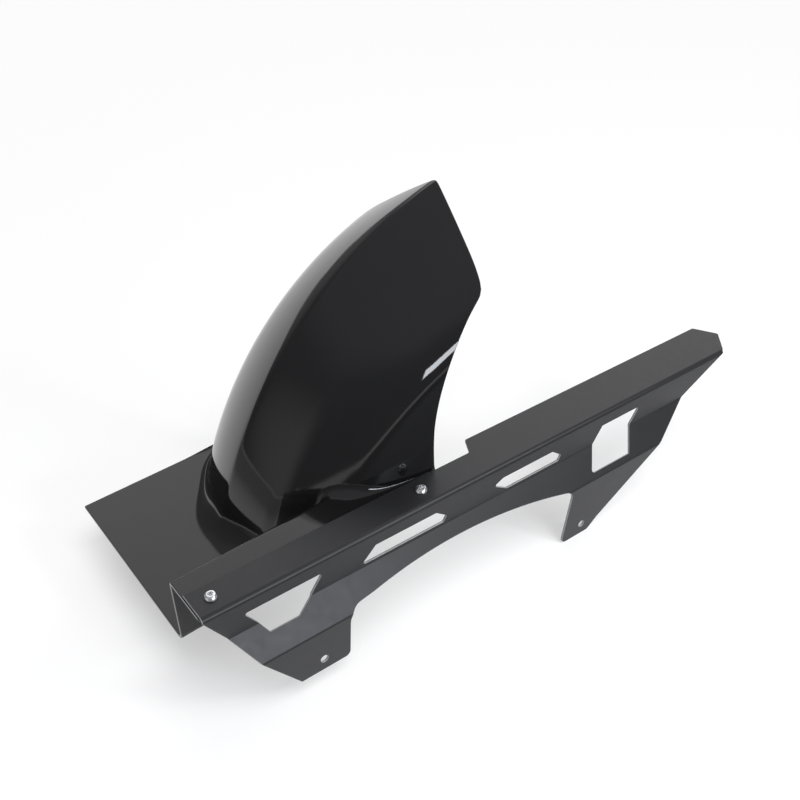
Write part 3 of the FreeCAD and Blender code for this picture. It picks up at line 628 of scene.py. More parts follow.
def shell_sheet(form):
    """Points and quads of the shell's outer face: both halves and the flange under the guard."""
    sizes = form.sizes
    spine = spine_line(form)
    right = shell_half(form, spine, form.right_edge, sizes.right_hem_radius, sizes.right_hem_back,
                       -sizes.plate_drop)
    left = shell_half(form, spine, lambda foot: -sizes.guard_edge, sizes.left_hem_radius,
                      sizes.flange_length, -sizes.flange_drop)
    main = np.concatenate([right[:, :0:-1], left], axis=1)
    numbers = np.arange(main.shape[0] * main.shape[1]).reshape(main.shape[:2])
    beside = spine[:, 0] < sizes.flange_length + 1e-6
    strips = int((sizes.guard_edge - sizes.flange_left) / sizes.facet)
    flange = np.repeat(main[beside, -1:], strips, axis=1)
    flange[:, :, 1] = np.linspace(-sizes.guard_edge, -sizes.flange_left, strips + 1)[1:]
    flange[:, :, 2] = -sizes.flange_drop
    under = np.arange(flange.shape[0] * strips).reshape(-1, strips) + numbers.size
    under = np.concatenate([numbers[beside, -1:], under], axis=1)
    points = np.concatenate([main.reshape(-1, 3), flange.reshape(-1, 3)])
    return points, np.concatenate([quads_over(numbers), quads_over(under)])


def rim_of(quads):
    """Edges with a quad on one side only, as they run round that quad."""
    edges = np.concatenate([quads[:, [side, (side + 1) % 4]] for side in range(4)])
    keys = edges.min(axis=1) * (quads.max() + 1) + edges.max(axis=1)
    _, first, times = np.unique(keys, return_index=True, return_counts=True)
    return edges[first[times == 1]]


def thickened(points, normals, quads, wall, edge_round):
    """A sheet given a wall and rounded rims; gives points, normals, faces and which faces are inside."""
    rim = rim_of(quads)
    ends = np.unique(rim)
    where = np.searchsorted(ends, rim)
    along = points[rim[:, 1]] - points[rim[:, 0]]
    along = along / np.maximum(np.linalg.norm(along, axis=1, keepdims=True), 1e-9)
    out = np.zeros((len(ends), 3))
    for side in range(2):
        np.add.at(out, where[:, side], np.cross(along, normals[rim[:, side]]))
    base, facing = points[ends], normals[ends]
    out -= facing * (out * facing).sum(axis=1, keepdims=True)
    out /= np.linalg.norm(out, axis=1, keepdims=True)
    layers, bands = [points, points - normals * wall], [normals, -normals]
    quarter = np.linspace(0.0, math.pi / 2, 5)
    turns = [(turn, 0.0) for turn in quarter[1:]]
    turns += [(math.pi - turn, wall - 2 * edge_round) for turn in quarter[:0:-1]]
    for turn, drop in turns:
        sunk = edge_round * (1 - math.cos(turn)) + drop
        layers.append(base + out * edge_round * math.sin(turn) - facing * sunk)
        bands.append(facing * math.cos(turn) + out * math.sin(turn))
    count = len(points)
    starts = [rim] + [where + 2 * count + step * len(ends) for step in range(len(turns))] + [rim + count]
    sides = [np.stack([upper[:, 1], upper[:, 0], lower[:, 0], lower[:, 1]], axis=1)
             for upper, lower in zip(starts, starts[1:])]
    faces = np.concatenate([quads, quads[:, ::-1] + count, *sides])
    inside = np.zeros(len(faces), int)
    inside[len(quads):2 * len(quads)] = 1
    return np.concatenate(layers), np.concatenate(bands), faces, inside


def make_shell(sizes):
    """The moulded shell as one closed skin, gloss outside and grained inside."""
    form = ShellForm(sizes)
    points, quads = shell_sheet(form)
    mirror = np.array([-1.0, 1.0, 1.0])
    outer = np.array(guard_corner()) + points * mirror
    vertices, normals, faces, inside = thickened(
        outer, form.normals(points) * mirror, quads, sizes.wall, sizes.edge_round)
    piece = new_piece(
        "hugger_shell_skin", vertices, faces.tolist(), [gloss_black_abs(), grained_black_abs()], inside)
    piece.data.normals_split_custom_set_from_vertices(normals)
    return piece


# Folded chain guard: a flat outline with its windows, triangulated and folded

class GuardFold:
    """Folds a flat sheet: across is minus the distance in over the top face, then the drop down the side."""

    def __init__(self, sizes):
        self.sizes = sizes
        outer = sizes.bend + sizes.sheet
        lean = math.atan2(sizes.splay_out, sizes.splay_drop)
        foot = sizes.side_height + sizes.splay_drop
        tight = sizes.bend * math.tan(lean / 2)
        wide = outer * math.tan(lean / 2)
        self.folds = [
            (-outer, outer, 0.0, math.pi / 2),
            (sizes.side_height - tight, sizes.side_height + tight * math.cos(lean), math.pi / 2,
             math.pi / 2 - lean),
            (foot - wide * math.cos(lean), foot + wide, math.pi / 2 - lean, math.pi / 2)]
        self.lean = lean

    def lines(self):
        """Lines along the guard where the folded sheet needs points."""
        steps = (8, 4, 5)
        beside = self.sizes.edge_break
        return [place for (start, end, _, _), count in zip(self.folds, steps)
                for place in (start - beside, *np.linspace(start, end, count), end + beside)]

    def section(self, across):
        """Left, up and the sheet's downward tilt at a place across it."""
        sizes = self.sizes
        across = np.asarray(across, float)
        left = np.where(across < 0, across, 0.0)
        up = np.where(across < 0, 0.0, -across)
        splay = np.clip((across - sizes.side_height) / sizes.splay_drop, 0.0, 1.0)
        left = left + splay * sizes.splay_out
        tilt = np.zeros_like(across)
        tilt = np.where(across > 0, math.pi / 2, tilt)
        tilt = np.where((splay > 0) & (splay < 1), math.pi / 2 - self.lean, tilt)
        for start, end, before, after in self.folds:
            share = np.clip((across - start) / (end - start), 0.0, 1.0)
            inside = (share > 0) & (share < 1)
            angle = before + (after - before) * share
            ends = [self.flat(place) for place in (start, end)]
            radius = np.linalg.norm(np.subtract(*ends)) / (2 * math.sin(abs(after - before) / 2))
            turn = 1 if after > before else -1
            arc_left = ends[0][0] + radius * turn * (np.sin(angle) - math.sin(before))
            arc_up = ends[0][1] + radius * turn * (np.cos(angle) - math.cos(before))
            left = np.where(inside, arc_left, left)
            up = np.where(inside, arc_up, up)
            tilt = np.where(inside, angle, tilt)
        return left, up, tilt

    def flat(self, across):
        """Left and up of a place on the sheet with sharp folds."""
        sizes = self.sizes
        splay = min(max((across - sizes.side_height) / sizes.splay_drop, 0.0), 1.0)
        return (min(across, 0.0) + splay * sizes.splay_out, -max(across, 0.0))

    def outward(self, outline):
        """Directions straight out of the sheet's outer face."""
        tilt = self.section(outline[:, 1])[2]
        return np.stack([np.zeros_like(tilt), np.sin(tilt), np.cos(tilt)], axis=1)

    def place(self, outline, depth):
        """Points in space of places on the sheet, at a depth below its outer face."""
        outline = np.asarray(outline, float)
        left, up, tilt = self.section(outline[:, 1])
        left = left - depth * np.sin(tilt)
        up = up - depth * np.cos(tilt)
        corner = guard_corner()
        return np.stack([corner.x - outline[:, 0], corner.y + left, corner.z + up], axis=1)


def rounded(corners, radius, steps=5):
    """A closed outline with its corners rounded; a corner may carry a radius of its own."""
    nearly_straight, most = math.radians(88), 0.45
    points = [np.array(corner[:2], float) for corner in corners]
    outline = []
    for number, corner in enumerate(corners):
        here = points[number]
        before = points[number - 1] - here
        after = points[(number + 1) % len(points)] - here
        bend = corner[2] if len(corner) > 2 else radius
        before_run, after_run = np.linalg.norm(before), np.linalg.norm(after)
        before, after = before / before_run, after / after_run
        half = math.acos(np.clip(before @ after, -1.0, 1.0)) / 2
        if bend <= 0 or half > nearly_straight:
            outline.append(here)
            continue
        run = min(bend / math.tan(half), before_run * most, after_run * most)
        start, end = here + before * run, here + after * run
        centre = here + (before + after) / np.linalg.norm(before + after) * (run / math.cos(half))
        first, last = start - centre, end - centre
        sweep = math.atan2(first[0] * last[1] - first[1] * last[0], first @ last)
        for share in np.linspace(0.0, 1.0, steps):
            turn = sweep * share
            spin = np.array([[math.cos(turn), -math.sin(turn)], [math.sin(turn), math.cos(turn)]])
            outline.append(centre + spin @ first)
    return np.array(outline)


def bowed(start, end, radius, steps):
    """Points of an arc between two places, bowed towards less drop."""
    start, end = np.array(start), np.array(end)
    chord = end - start
    middle = (start + end) / 2
    normal = np.array([chord[1], -chord[0]]) / np.linalg.norm(chord)
    if normal[1] > 0:
        normal = -normal
    half = np.linalg.norm(chord) / 2
    centre = middle - normal * math.sqrt(radius ** 2 - half ** 2)
    angles = [math.atan2(*(point - centre)[::-1]) for point in (start, end)]
    return [tuple(centre + radius * np.array([math.cos(angle), math.sin(angle)])) + (0.0,)
            for angle in np.linspace(*angles, steps)]


def ring(back, drop, diameter, steps=28):
    """A round hole on the flat sheet."""
    angles = np.linspace(0.0, 2 * math.pi, steps, endpoint=False)
    return np.stack([back + diameter / 2 * np.cos(angles), drop + diameter / 2 * np.sin(angles)], axis=1)


def guard_outline(sizes):
    """The guard's outline on the flat sheet: how far back, how far down, and each corner's radius."""
    tab, top = sizes.tab_corner, sizes.top_corner
    fold = sizes.side_height
    foot = fold + sizes.splay_drop
    top_face = [
        (-sizes.lead, -sizes.top_width, 0.0), (0.263, -sizes.top_width, top),
        (0.271, -sizes.top_rear_width, top), (0.5625, -sizes.top_rear_width, top), (0.5745, -0.024, top)]
    rear_end = [
        (0.5545, -0.001, 0.0), (0.5538, 0.002, 0.0), (0.500, fold, 0.0),
        (0.455, foot, 0.0), (0.378, 0.1006, 0.0)]
    rear_tab = [(0.366, 0.1103, tab), (0.3333, 0.1103, tab), (0.3435, 0.0534, 0.009)]
    arch = bowed((0.334, 0.0516), (0.125, 0.0477), 0.62, 28)[1:-1]
    front_tab = [(0.1075, 0.0490, 0.021), (0.1045, 0.0945, tab), (0.0595, 0.0945, 0.001)]
    front_end = [(0.0293, foot, 0.0), (0.0136, fold, 0.0), (-sizes.lead, 0.004, 0.0)]
    return rounded(top_face + rear_end + rear_tab + arch + front_tab + front_end, 0.0, 7)


def guard_holes(sizes):
    """The windows, slots and holes on the flat sheet, by back and drop."""
    top, low, fold = sizes.window_drop, sizes.slot_low, sizes.side_height
    knee = 0.0222
    front_window = [(0.0287, top), (0.0957, top), (0.0842, fold, 0.0), (0.070, 0.0376), (0.0445, 0.0376)]
    front_slot = [(0.1307, low), (0.1449, top), (0.2042, top), (0.2146, knee), (0.2118, low)]
    rear_slot = [(0.2799, low), (0.2656, 0.0185), (0.2753, top), (0.3313, top), (0.3417, knee), (0.3389, low)]
    rear_window = [(0.392, top), (0.4389, top), (0.4159, 0.048), (0.369, 0.048)]
    tab_holes = ((0.0808, 0.083), (0.3577, 0.099))
    windows = (front_window, front_slot, rear_slot, rear_window)
    holes = [rounded(window, sizes.window_corner) for window in windows]
    holes += [ring(*place, sizes.tab_hole) for place in tab_holes]
    front, rear, inward = screw_places()
    corner = guard_corner()
    return holes + [ring(corner.x - along, inward - corner.y, sizes.screw_hole) for along in (front, rear)]


def signed_area(loop):
    """Area inside a loop, negative where it runs the other way round."""
    ahead = np.roll(loop, -1, axis=0)
    return (loop[:, 0] * ahead[:, 1] - loop[:, 1] * ahead[:, 0]).sum() / 2


def inset(loop, distance):
    """A loop moved sideways into the sheet: outlines shrink and holes grow."""
    before = loop - np.roll(loop, 1, axis=0)
    after = np.roll(loop, -1, axis=0) - loop
    normals = [np.stack([-way[:, 1], way[:, 0]], axis=1) / np.linalg.norm(way, axis=1, keepdims=True)
               for way in (before, after)]
    push = normals[0] + normals[1]
    sharpest = 0.8
    push = push / np.maximum((push ** 2).sum(1, keepdims=True), sharpest) * 2
    return loop + push * distance


def crossed_by(loop, inner, lines):
    """Adds to a loop and to its inset loop the points where the inset one crosses the fold lines."""
    least = 1e-4
    pairs = np.stack([loop, inner], axis=1)
    points = []
    for start, end in zip(pairs, np.roll(pairs, -1, axis=0)):
        points.append(start)
        rise = end[1, 1] - start[1, 1]
        cuts = [(line - start[1, 1]) / rise for line in lines if abs(rise) > 1e-9]
        points += [start + (end - start) * cut for cut in sorted(cuts) if least < cut < 1 - least]
    return np.array(points)


def inside_loops(points, loops):
    """True for points that lie inside an odd number of loops."""
    odd = np.zeros(len(points), bool)
    for loop in loops:
        for start, end in zip(loop, np.roll(loop, -1, axis=0)):
            spans = (start[1] > points[:, 1]) != (end[1] > points[:, 1])
            rise = end[1] - start[1] if end[1] != start[1] else 1e-12
            along = start[0] + (points[:, 1] - start[1]) / rise * (end[0] - start[0])
            odd ^= spans & (points[:, 0] < along)
    return odd


def fill_sheet(loops, lines):
    """Points and triangles of a sheet, split at the fold lines, and the point numbers of each loop."""
    vertices = [Vector(point) for loop in loops for point in loop]
    edges = []
    start = 0
    for loop in loops:
        edges += [(start + number, start + (number + 1) % len(loop)) for number in range(len(loop))]
        start += len(loop)
    span = [loops[0][:, 0].min(), loops[0][:, 0].max()]
    for line in lines:
        edges.append((len(vertices), len(vertices) + 1))
        vertices += [Vector((place, line)) for place in span]
    points, _, faces, sources, _, _ = delaunay_2d_cdt(vertices, edges, [], 0, 1e-7)
    points = np.array([tuple(point) for point in points])
    faces = np.array(faces)
    number_of = {source: number for number, given in enumerate(sources) for source in given}
    ends = np.cumsum([len(loop) for loop in loops])
    numbers = np.split([number_of[source] for source in range(start)], ends[:-1])
    return points, faces[inside_loops(points[faces].mean(axis=1), loops)], numbers


def facing_rightly(loops):
    """Turns the outline and the holes, so that the sheet lies on the same hand of each."""
    outline, *holes = loops
    turned_outline = outline if signed_area(outline) > 0 else outline[::-1]
    return [turned_outline] + [hole[::-1] if signed_area(hole) > 0 else hole for hole in holes]


def make_guard(sizes):
    """The folded guard: both faces of the sheet, and rims whose edges are broken."""
    fold = GuardFold(sizes)
    loops = facing_rightly([guard_outline(sizes)] + guard_holes(sizes))
    pairs = [crossed_by(loop, inset(loop, sizes.edge_break), fold.lines()) for loop in loops]
    points, triangles, numbers = fill_sheet([pair[:, 1] for pair in pairs], fold.lines())
    count = len(points)
    vertices = [fold.place(points, 0.0), fold.place(points, sizes.sheet)]
    depths = (sizes.edge_break, sizes.sheet - sizes.edge_break)
    total = 2 * count
    quads = []
    for pair, upper in zip(pairs, numbers):
        rim = np.arange(total, total + len(pair))
        vertices += [fold.place(pair[:, 0], depth) for depth in depths]
        total += 2 * len(pair)
        bands = (upper, rim, rim + len(pair), upper + count)
        for above, below in zip(bands, bands[1:]):
            quads.append(np.stack([np.roll(above, -1), np.roll(below, -1), below, above], axis=1))
    quads = np.concatenate(quads)
    faces = triangles[:, ::-1].tolist() + (triangles + count).tolist() + quads.tolist()
    # The rims take the second material, the lighter grey of the painted edge highlight
    shades = [0] * (2 * len(triangles)) + [1] * len(quads)
    piece = new_piece(
        "chain_guard_sheet", np.concatenate(vertices), faces, [satin_black_coat(), coated_cut_edge()], shades)
    outward = fold.outward(points)
    sheet = np.concatenate([outward, -outward])
    normals = []
    for face in piece.data.polygons:
        if face.material_index == 0:
            normals += [tuple(sheet[vertex]) for vertex in face.vertices]
        else:
            normals += [tuple(face.normal)] * face.loop_total
    piece.data.normals_split_custom_set(normals)
    return piece


# Screws, washers and nuts: each turned once, then set at both screw holes by a node tree

THREAD_DEPTH = 0.55
EDGE_BREAK = 0.0002


def screw_places():
    """Where the two screws stand: front and rear along the guard, and across it."""
    low, high = SCREW_BOX
    reach = bpy.context.scene.hugger_fasteners.head / 2
    return high.x - reach, low.x + reach, (low.y + high.y) / 2


def hexagon(flats):
    """Radius of a hexagon by angle."""
    return lambda angle: flats / 2 / np.cos((angle + math.pi / 6) % (math.pi / 3) - math.pi / 6)


def thread(radius, pitch, up):
    """Radius of a screw thread by angle, at a height."""
    depth = pitch * THREAD_DEPTH
    return lambda angle: radius - depth * np.abs(((up / pitch - angle / (2 * math.pi)) % 1.0) * 2 - 1)


def turned(rows, steps, closed):
    """Points and faces of a turned piece; a row is a height and a radius, which may vary with the angle."""
    angles = np.linspace(0.0, 2 * math.pi, steps, endpoint=False)
    vertices = []
    for up, radius in rows:
        reach = radius(angles) if callable(radius) else np.full(steps, radius)
        circle = [reach * np.cos(angles), reach * np.sin(angles), np.full(steps, up)]
        vertices += list(np.stack(circle, axis=1))
    faces = []
    pairs = list(zip(range(len(rows)), range(1, len(rows))))
    if closed:
        pairs.append((len(rows) - 1, 0))
    for lower, upper in pairs:
        for step in range(steps):
            following = (step + 1) % steps
            faces.append((lower * steps + step, lower * steps + following,
                          upper * steps + following, upper * steps + step))
    if not closed:
        faces.append(tuple(range(steps))[::-1])
        faces.append(tuple(range((len(rows) - 1) * steps, len(rows) * steps)))
    return np.array(vertices), faces


def screw_rows(sizes):
    """A button head with a hexagon socket over a threaded shank; heights run from the head's underside."""
    tip, plain, rim = 0.0004, 0.0004, 0.0006
    drill, drill_end, bulge = 0.0008, 0.0002, 0.35
    socket_break = 0.00015
    bottom = SCREW_BOX[0].z - SCREW_BOX[1].z + sizes.head_height
    radius, head, land = sizes.shank / 2, sizes.head / 2, sizes.land / 2
    heights = np.arange(bottom + tip, -2 * plain, sizes.pitch / 6)
    rows = [(bottom, radius - sizes.pitch * 0.7)]
    rows += [(up, thread(radius, sizes.pitch, up)) for up in heights]
    rows += [(-plain, radius), (0.0, radius), (0.0, head - EDGE_BREAK), (EDGE_BREAK, head), (rim, head)]
    for share in np.linspace(0.1, 1.0, 9):
        turn = share * math.pi / 2
        flat = 1 - bulge * math.sin(turn) * math.cos(turn)
        up = rim + (sizes.head_height - rim) * math.sin(turn)
        rows.append((up, land + (head - land) * math.cos(turn) * flat))
    socket = hexagon(sizes.socket)
    floor = sizes.head_height - sizes.socket_depth
    rows += [(sizes.head_height, lambda angle: socket(angle) + socket_break),
             (sizes.head_height - socket_break, socket), (floor, socket), (floor - drill, drill_end)]
    return rows


def washer_rows(sizes):
    """A flat washer with its edges broken; heights run from its underside."""
    height = WASHER_BOX[1].z - WASHER_BOX[0].z
    outer = (WASHER_BOX[1].y - WASHER_BOX[0].y) / 2
    inner = sizes.washer_bore / 2
    return [(0.0, inner + EDGE_BREAK), (0.0, outer - EDGE_BREAK), (EDGE_BREAK, outer),
            (height - EDGE_BREAK, outer), (height, outer - EDGE_BREAK), (height, inner + EDGE_BREAK),
            (height - EDGE_BREAK, inner), (EDGE_BREAK, inner)]


def nut_rows(sizes):
    """A hexagon nut with a locking collar below; heights run from the collar's end."""
    clearance, countersink, collar_break = 0.00005, 0.0004, 0.0006
    washer_face, chamfer = 0.97, 1.7
    first, second = 0.0002, 0.0005
    height = NUT_BOX[1].z - NUT_BOX[0].z
    flats = hexagon(sizes.nut_flats)
    bore = sizes.shank / 2 + clearance
    face = sizes.nut_flats / 2 * washer_face
    collar, base = sizes.collar / 2, sizes.collar_height

    def chamfered(rise):
        return lambda angle: np.minimum(flats(angle), face + rise * chamfer)

    rows = [(countersink, bore), (0.0, bore + countersink), (0.0, collar - collar_break)]
    rows += [(collar_break, collar), (base, collar), (base, face)]
    rows += [(base + rise, chamfered(rise)) for rise in (first, second)]
    rows += [(height - rise, chamfered(rise)) for rise in (second, first)]
    return rows + [(height, face), (height, bore + countersink), (height - countersink, bore)]


def fastener_tree():
    """A node tree that sets one piece at the front and the rear screw, turned by a seeded angle."""
    tree = bpy.data.node_groups.new("set_at_screws", "GeometryNodeTree")
    tree.interface.new_socket("Geometry", in_out="OUTPUT", socket_type="NodeSocketGeometry")
    kinds = {"Piece": "Object", "Front": "Vector", "Rear": "Vector", "Finish": "Material", "Seed": "Int"}
    for name, kind in kinds.items():
        tree.interface.new_socket(name, in_out="INPUT", socket_type=f"NodeSocket{kind}")
    nodes = Nodes(tree)
    given = nodes.add("NodeGroupInput").outputs
    line = nodes.add("GeometryNodeMeshLine", {"Start Location": given["Front"], "Offset": given["Rear"]},
                     mode="END_POINTS", Count=2)
    angle = nodes.add("FunctionNodeRandomValue", {"Seed": given["Seed"]}, data_type="FLOAT")
    angle.inputs[3].default_value = math.tau
    turn = nodes.add("ShaderNodeCombineXYZ", {"Z": angle.outputs[1]})
    piece = nodes.add("GeometryNodeObjectInfo", {"Object": given["Piece"]})
    placed = nodes.add("GeometryNodeInstanceOnPoints", {
        "Points": line.outputs["Mesh"], "Instance": piece.outputs["Geometry"],
        "Rotation": turn.outputs["Vector"]})
    real = nodes.add("GeometryNodeRealizeInstances", {"Geometry": placed.outputs["Instances"]})
    finished = nodes.add("GeometryNodeSetMaterial", {
        "Geometry": real.outputs["Geometry"], "Material": given["Finish"]})
    nodes.add("NodeGroupOutput", {"Geometry": finished.outputs["Geometry"]})
    return tree


def set_at_screws(name, rows, closed, level, finish, seed):
    """Makes a pair of like pieces at the two screws, standing at a height in the frame."""
    steps = bpy.context.scene.hugger_fasteners.turns
    vertices, faces = turned(rows, steps, closed)
    one = new_piece(f"{name}_one", vertices, faces, [finish])
    sharp = math.radians(35)
    one.data.set_sharp_from_angle(angle=sharp)
    front, rear, across = screw_places()
    pair = new_piece(name, [], [], [finish])
    modifier = pair.modifiers.new("set_at_screws", "NODES")
    modifier.node_group = bpy.data.node_groups.get("set_at_screws") or fastener_tree()
    values = {"Piece": one, "Front": (front, across, level), "Rear": (rear, across, level), "Finish": finish,
              "Seed": seed}
    for item in modifier.node_group.interface.items_tree:
        if item.in_out == "INPUT":
            modifier[item.identifier] = values[item.name]
    bake_modifiers(pair)
    bpy.data.objects.remove(one)
    return pair


# Stage

def look_from(location, right, up, back):
    """A camera's matrix from its place and its three axes."""
    turn = Matrix((right, up, back)).transposed().to_4x4()
    return Matrix.Translation(location) @ turn


def make_camera():
    """The photograph's camera, worked out from the part's straight edges."""
    place = Vector((0.2492, 0.4552, 0.6133))
    right = Vector((-0.8034, 0.5952, -0.0189))
    up = Vector((-0.3602, -0.4604, 0.8113))
    data = bpy.data.cameras.new("photo_view")
    data.sensor_width = 36.0
    data.lens = 45.3
    camera = bpy.data.objects.new("photo_view", data)
    bpy.context.scene.collection.objects.link(camera)
    camera.matrix_world = look_from(place, right, up, right.cross(up))
    bpy.context.scene.camera = camera


def make_floor():
    """A wide pale floor that shows white to the camera and in gloss, and keeps the soft shadows."""
    reach, level = 12.0, CAD_BOX[0].z
    seen_grey, seen_glow = 0.56, 0.45
    corners = [(-reach, -reach, level), (reach, -reach, level), (reach, reach, level), (-reach, reach, level)]
    material = bpy.data.materials.new("studio_floor")
    material.use_nodes = True
    nodes = Nodes(material.node_tree)
    nodes.tree.nodes.clear()
    paint = nodes.add("ShaderNodeBsdfDiffuse", Color=(*bpy.context.scene.hugger_colours.floor, 1.0))
    thin = nodes.add("ShaderNodeBsdfDiffuse", Color=(seen_grey, seen_grey, seen_grey, 1.0))
    glow = nodes.add("ShaderNodeEmission", Strength=seen_glow)
    lit = nodes.add("ShaderNodeAddShader", {0: thin.outputs[0], 1: glow.outputs[0]})
    path = nodes.add("ShaderNodeLightPath").outputs
    seen = path["Is Camera Ray"]
    for kind in ("Is Glossy Ray", "Is Transmission Ray"):
        seen = nodes.add("ShaderNodeMath", {0: seen, 1: path[kind]}, operation="MAXIMUM").outputs[0]
    mixed = nodes.add("ShaderNodeMixShader", {"Fac": seen, 1: paint.outputs[0], 2: lit.outputs[0]})
    nodes.add("ShaderNodeOutputMaterial", {"Surface": mixed.outputs[0]})
    floor = new_piece("studio_floor", corners, [(0, 1, 2, 3)], [material])


def make_world():
    """Soft grey studio surroundings, with a large white screen behind on the right and a dim one ahead."""
    levels = ((0.0, 0.2), (0.25, 0.2), (0.6, 0.26), (0.78, 0.42), (1.0, 0.45))
    screens = (((-0.56, -0.60, 0.57), 0.83, 0.92, 1.3), ((1.0, 0.0, 0.1), 0.88, 0.99, 0.6))
    blue = 1.04
    world = bpy.data.worlds.new("studio")
    bpy.context.scene.world = world
    world.use_nodes = True
    nodes = Nodes(world.node_tree)
    place = nodes.add("ShaderNodeTexCoord").outputs["Generated"]
    height = nodes.add("ShaderNodeSeparateXYZ", {0: place})
    sky = nodes.add("ShaderNodeValToRGB", {"Fac": height.outputs["Z"]})
    stops = sky.color_ramp.elements
    while len(stops) < len(levels):
        stops.new(1.0)
    for stop, (up, grey) in zip(stops, levels):
        stop.position = up
        stop.color = (grey, grey, grey * blue, 1.0)
    shade = sky.outputs["Color"]
    for way, edge, core, brightness in screens:
        towards = nodes.add("ShaderNodeVectorMath", {0: place}, operation="DOT_PRODUCT")
        towards.inputs[1].default_value = Vector(way).normalized()
        screen = nodes.add("ShaderNodeMapRange", {"Value": towards.outputs["Value"]},
                           interpolation_type="SMOOTHSTEP", From_Min=edge, From_Max=core)
        mixed = nodes.add("ShaderNodeMix", {"Factor": screen.outputs["Result"], "A": shade}, data_type="RGBA")
        mixed.inputs["B"].default_value = (brightness, brightness, brightness, 1.0)
        shade = mixed.outputs["Result"]
    nodes.tree.links.new(shade, nodes.tree.nodes["Background"].inputs["Color"])


def add_lamp(name, kind, energy, towards):
    """A lamp that shines from a place, or from a direction, at the part."""
    data = bpy.data.lights.new(name, kind)
    data.energy = energy
    lamp = bpy.data.objects.new(name, data)
    bpy.context.scene.collection.objects.link(lamp)
    lamp.location = PART_MIDDLE + Vector(towards)
    lamp.rotation_mode = "QUATERNION"
    lamp.rotation_quaternion = Vector(towards).to_track_quat("Z", "Y")
    return lamp


def make_lamps():
    """A wide soft light overhead, and on the left a broad and a small softbox, which show in the gloss."""
    overhead = add_lamp("soft_overhead", "SUN", 1.5, (-0.1, 0.4, 1.0))
    overhead.data.angle = math.radians(40)
    overhead.visible_glossy = False
    broad = add_lamp("broad_softbox", "AREA", 3.2, (-0.05, 0.92, 0.40))
    broad.data.shape = "RECTANGLE"
    broad.data.size = 0.5
    broad.data.size_y = 0.14
    broad.data.color = (0.90, 0.94, 1.0)
    small = add_lamp("small_softbox", "AREA", 2.6, (-0.57, 0.78, 0.70))
    small.data.size = 0.2


def dark_card(name, corners, fades=()):
    """Lays a matt dark card on the floor, where only the gloss shows it.

    Each fade runs over the bearing or the reach from the nose: where it is clear, where full, and how full.
    """
    shader = Shader(name, Base_Color=(0.12, 0.12, 0.12, 1.0), Roughness=1.0)
    level = CAD_BOX[0].z + MM
    place = shader.add("ShaderNodeVectorMath", {0: shader.place}, operation="SUBTRACT")
    place.inputs[1].default_value = (*NOSE, level)
    axes = shader.add("ShaderNodeSeparateXYZ", {0: place.outputs["Vector"]})
    bearing = shader.add("ShaderNodeMath", {0: axes.outputs["Y"], 1: axes.outputs["X"]}, operation="ARCTAN2")
    reach = shader.add("ShaderNodeVectorMath", {0: place.outputs["Vector"]}, operation="LENGTH")
    sources = {"bearing": bearing.outputs["Value"], "reach": reach.outputs["Value"]}
    product = None
    for kind, clear, full, most in fades:
        fade = shader.add("ShaderNodeMapRange", {"Value": sources[kind]}, interpolation_type="SMOOTHSTEP",
                          From_Min=clear, From_Max=full, To_Max=most).outputs["Result"]
        if product is not None:
            fade = shader.add("ShaderNodeMath", {0: product, 1: fade}, operation="MULTIPLY").outputs["Value"]
        product = fade
    if product is not None:
        shader.feed("Alpha", product)
    points = [(*corner, level) for corner in corners]
    card = new_piece(name, points, [tuple(range(len(points)))], [shader.material])
    card.visible_camera = card.visible_diffuse = card.visible_shadow = False


def make_dark_cards():
    """Dark cards on the left and, with soft edges, before the nose on the right and far in front."""
    far = 6.0
    before = (NOSE, (-far / 8, -far), (far, -far), (far, far / 3))
    dark_card("left_card", ((-0.75, 0.12), (0.45, 0.12), (2.5, 2.5), (-2.5, 2.5)))
    dark_card("near_card", before, (("bearing", -1.66, -1.50, 1.0), ("bearing", -0.40, -0.75, 1.0),
                                    ("reach", 0.06, 0.11, 1.0)))
    dark_card("far_card", before, (("bearing", -1.0, -0.7, 1.0), ("bearing", 0.7, 0.2, 1.0),
                                   ("reach", 0.2, 0.9, 0.6)))


# Operators

class HUGGER_OT_shell(bpy.types.Operator):
    """Builds the moulded hugger shell"""

    bl_idname = "hugger.shell"
    bl_label = "Hugger Shell"

    def execute(self, context):
        hand_over(make_shell(context.scene.hugger_shell), "hugger_shell")
        return {"FINISHED"}


class HUGGER_OT_guard(bpy.types.Operator):
    """Builds the folded chain guard"""

    bl_idname = "hugger.guard"
    bl_label = "Chain Guard"

    def execute(self, context):
        hand_over(make_guard(context.scene.hugger_guard), "chain_guard")
        return {"FINISHED"}


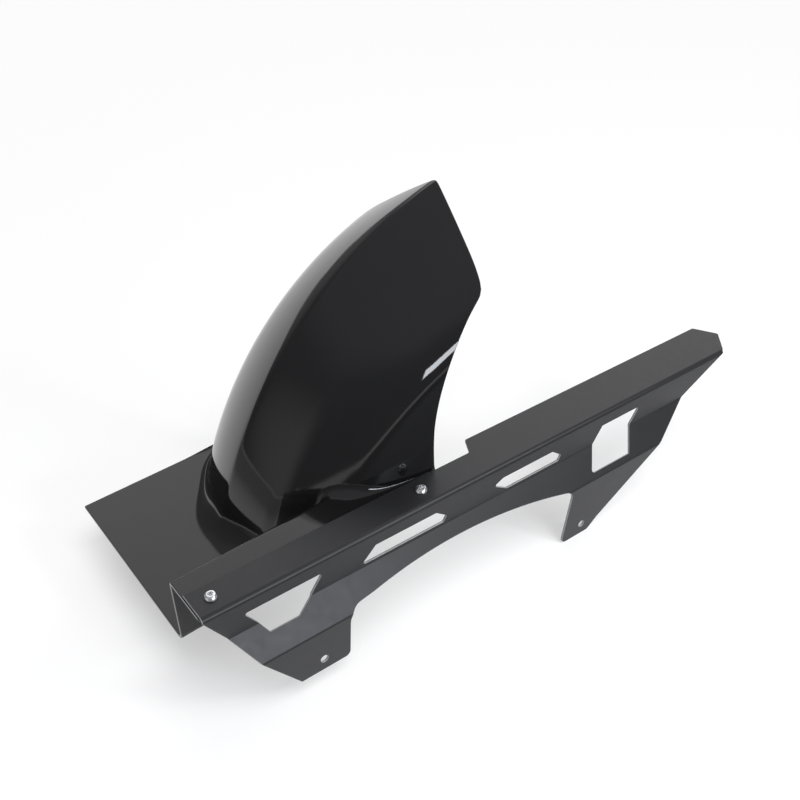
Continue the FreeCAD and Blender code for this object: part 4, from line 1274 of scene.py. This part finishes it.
class HUGGER_OT_fasteners(bpy.types.Operator):
    """Builds the screws, washers and nuts that hold the guard to the shell"""

    bl_idname = "hugger.fasteners"
    bl_label = "Fasteners"

    def execute(self, context):
        sizes = context.scene.hugger_fasteners
        finish = bright_plated_steel()
        head = SCREW_BOX[1].z - sizes.head_height
        screws = set_at_screws("button_screw_pair", screw_rows(sizes), False, head, finish, 3)
        washers = set_at_screws("flange_washer_pair", washer_rows(sizes), True, WASHER_BOX[0].z, finish, 5)
        nuts = set_at_screws("lock_nut_pair", nut_rows(sizes), True, NUT_BOX[0].z, finish, 8)
        hand_over(screws, "button_screws")
        hand_over(washers, "flange_washers")
        hand_over(nuts, "lock_nuts")
        return {"FINISHED"}


class HUGGER_OT_stage(bpy.types.Operator):
    """Sets the floor, the studio light and the camera"""

    bl_idname = "hugger.stage"
    bl_label = "Studio Stage"

    def execute(self, context):
        context.scene.view_settings.view_transform = "Standard"
        make_floor()
        make_world()
        make_lamps()
        make_dark_cards()
        make_camera()
        return {"FINISHED"}


class HUGGER_PT_panel(bpy.types.Panel):
    """Lists the hugger's pieces and their sizes"""

    bl_idname = "HUGGER_PT_panel"
    bl_label = "Rear Hugger"
    bl_space_type = "VIEW_3D"
    bl_region_type = "UI"
    bl_category = "Hugger"

    def draw(self, context):
        for operator in OPERATORS:
            self.layout.operator(operator.bl_idname)
        for name, group in GROUPS.items():
            box = self.layout.box()
            box.label(text=group.__name__)
            for field in group.__annotations__:
                box.prop(getattr(context.scene, name), field)


GROUPS = {
    "hugger_shell": HuggerShellSizes,
    "hugger_guard": ChainGuardSizes,
    "hugger_fasteners": FastenerSizes,
    "hugger_colours": FinishColours,
}
OPERATORS = (HUGGER_OT_shell, HUGGER_OT_guard, HUGGER_OT_fasteners, HUGGER_OT_stage)
CLASSES = (*GROUPS.values(), *OPERATORS, HUGGER_PT_panel)


def register():
    for item in CLASSES:
        bpy.utils.register_class(item)
    for name, group in GROUPS.items():
        setattr(bpy.types.Scene, name, PointerProperty(type=group))


def unregister():
    for name in GROUPS:
        delattr(bpy.types.Scene, name)
    for item in reversed(CLASSES):
        bpy.utils.unregister_class(item)


def main():
    register()
    bpy.ops.hugger.shell()
    bpy.ops.hugger.guard()
    bpy.ops.hugger.fasteners()
    bpy.ops.hugger.stage()
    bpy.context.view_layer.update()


if __name__ == "__main__":
    main()
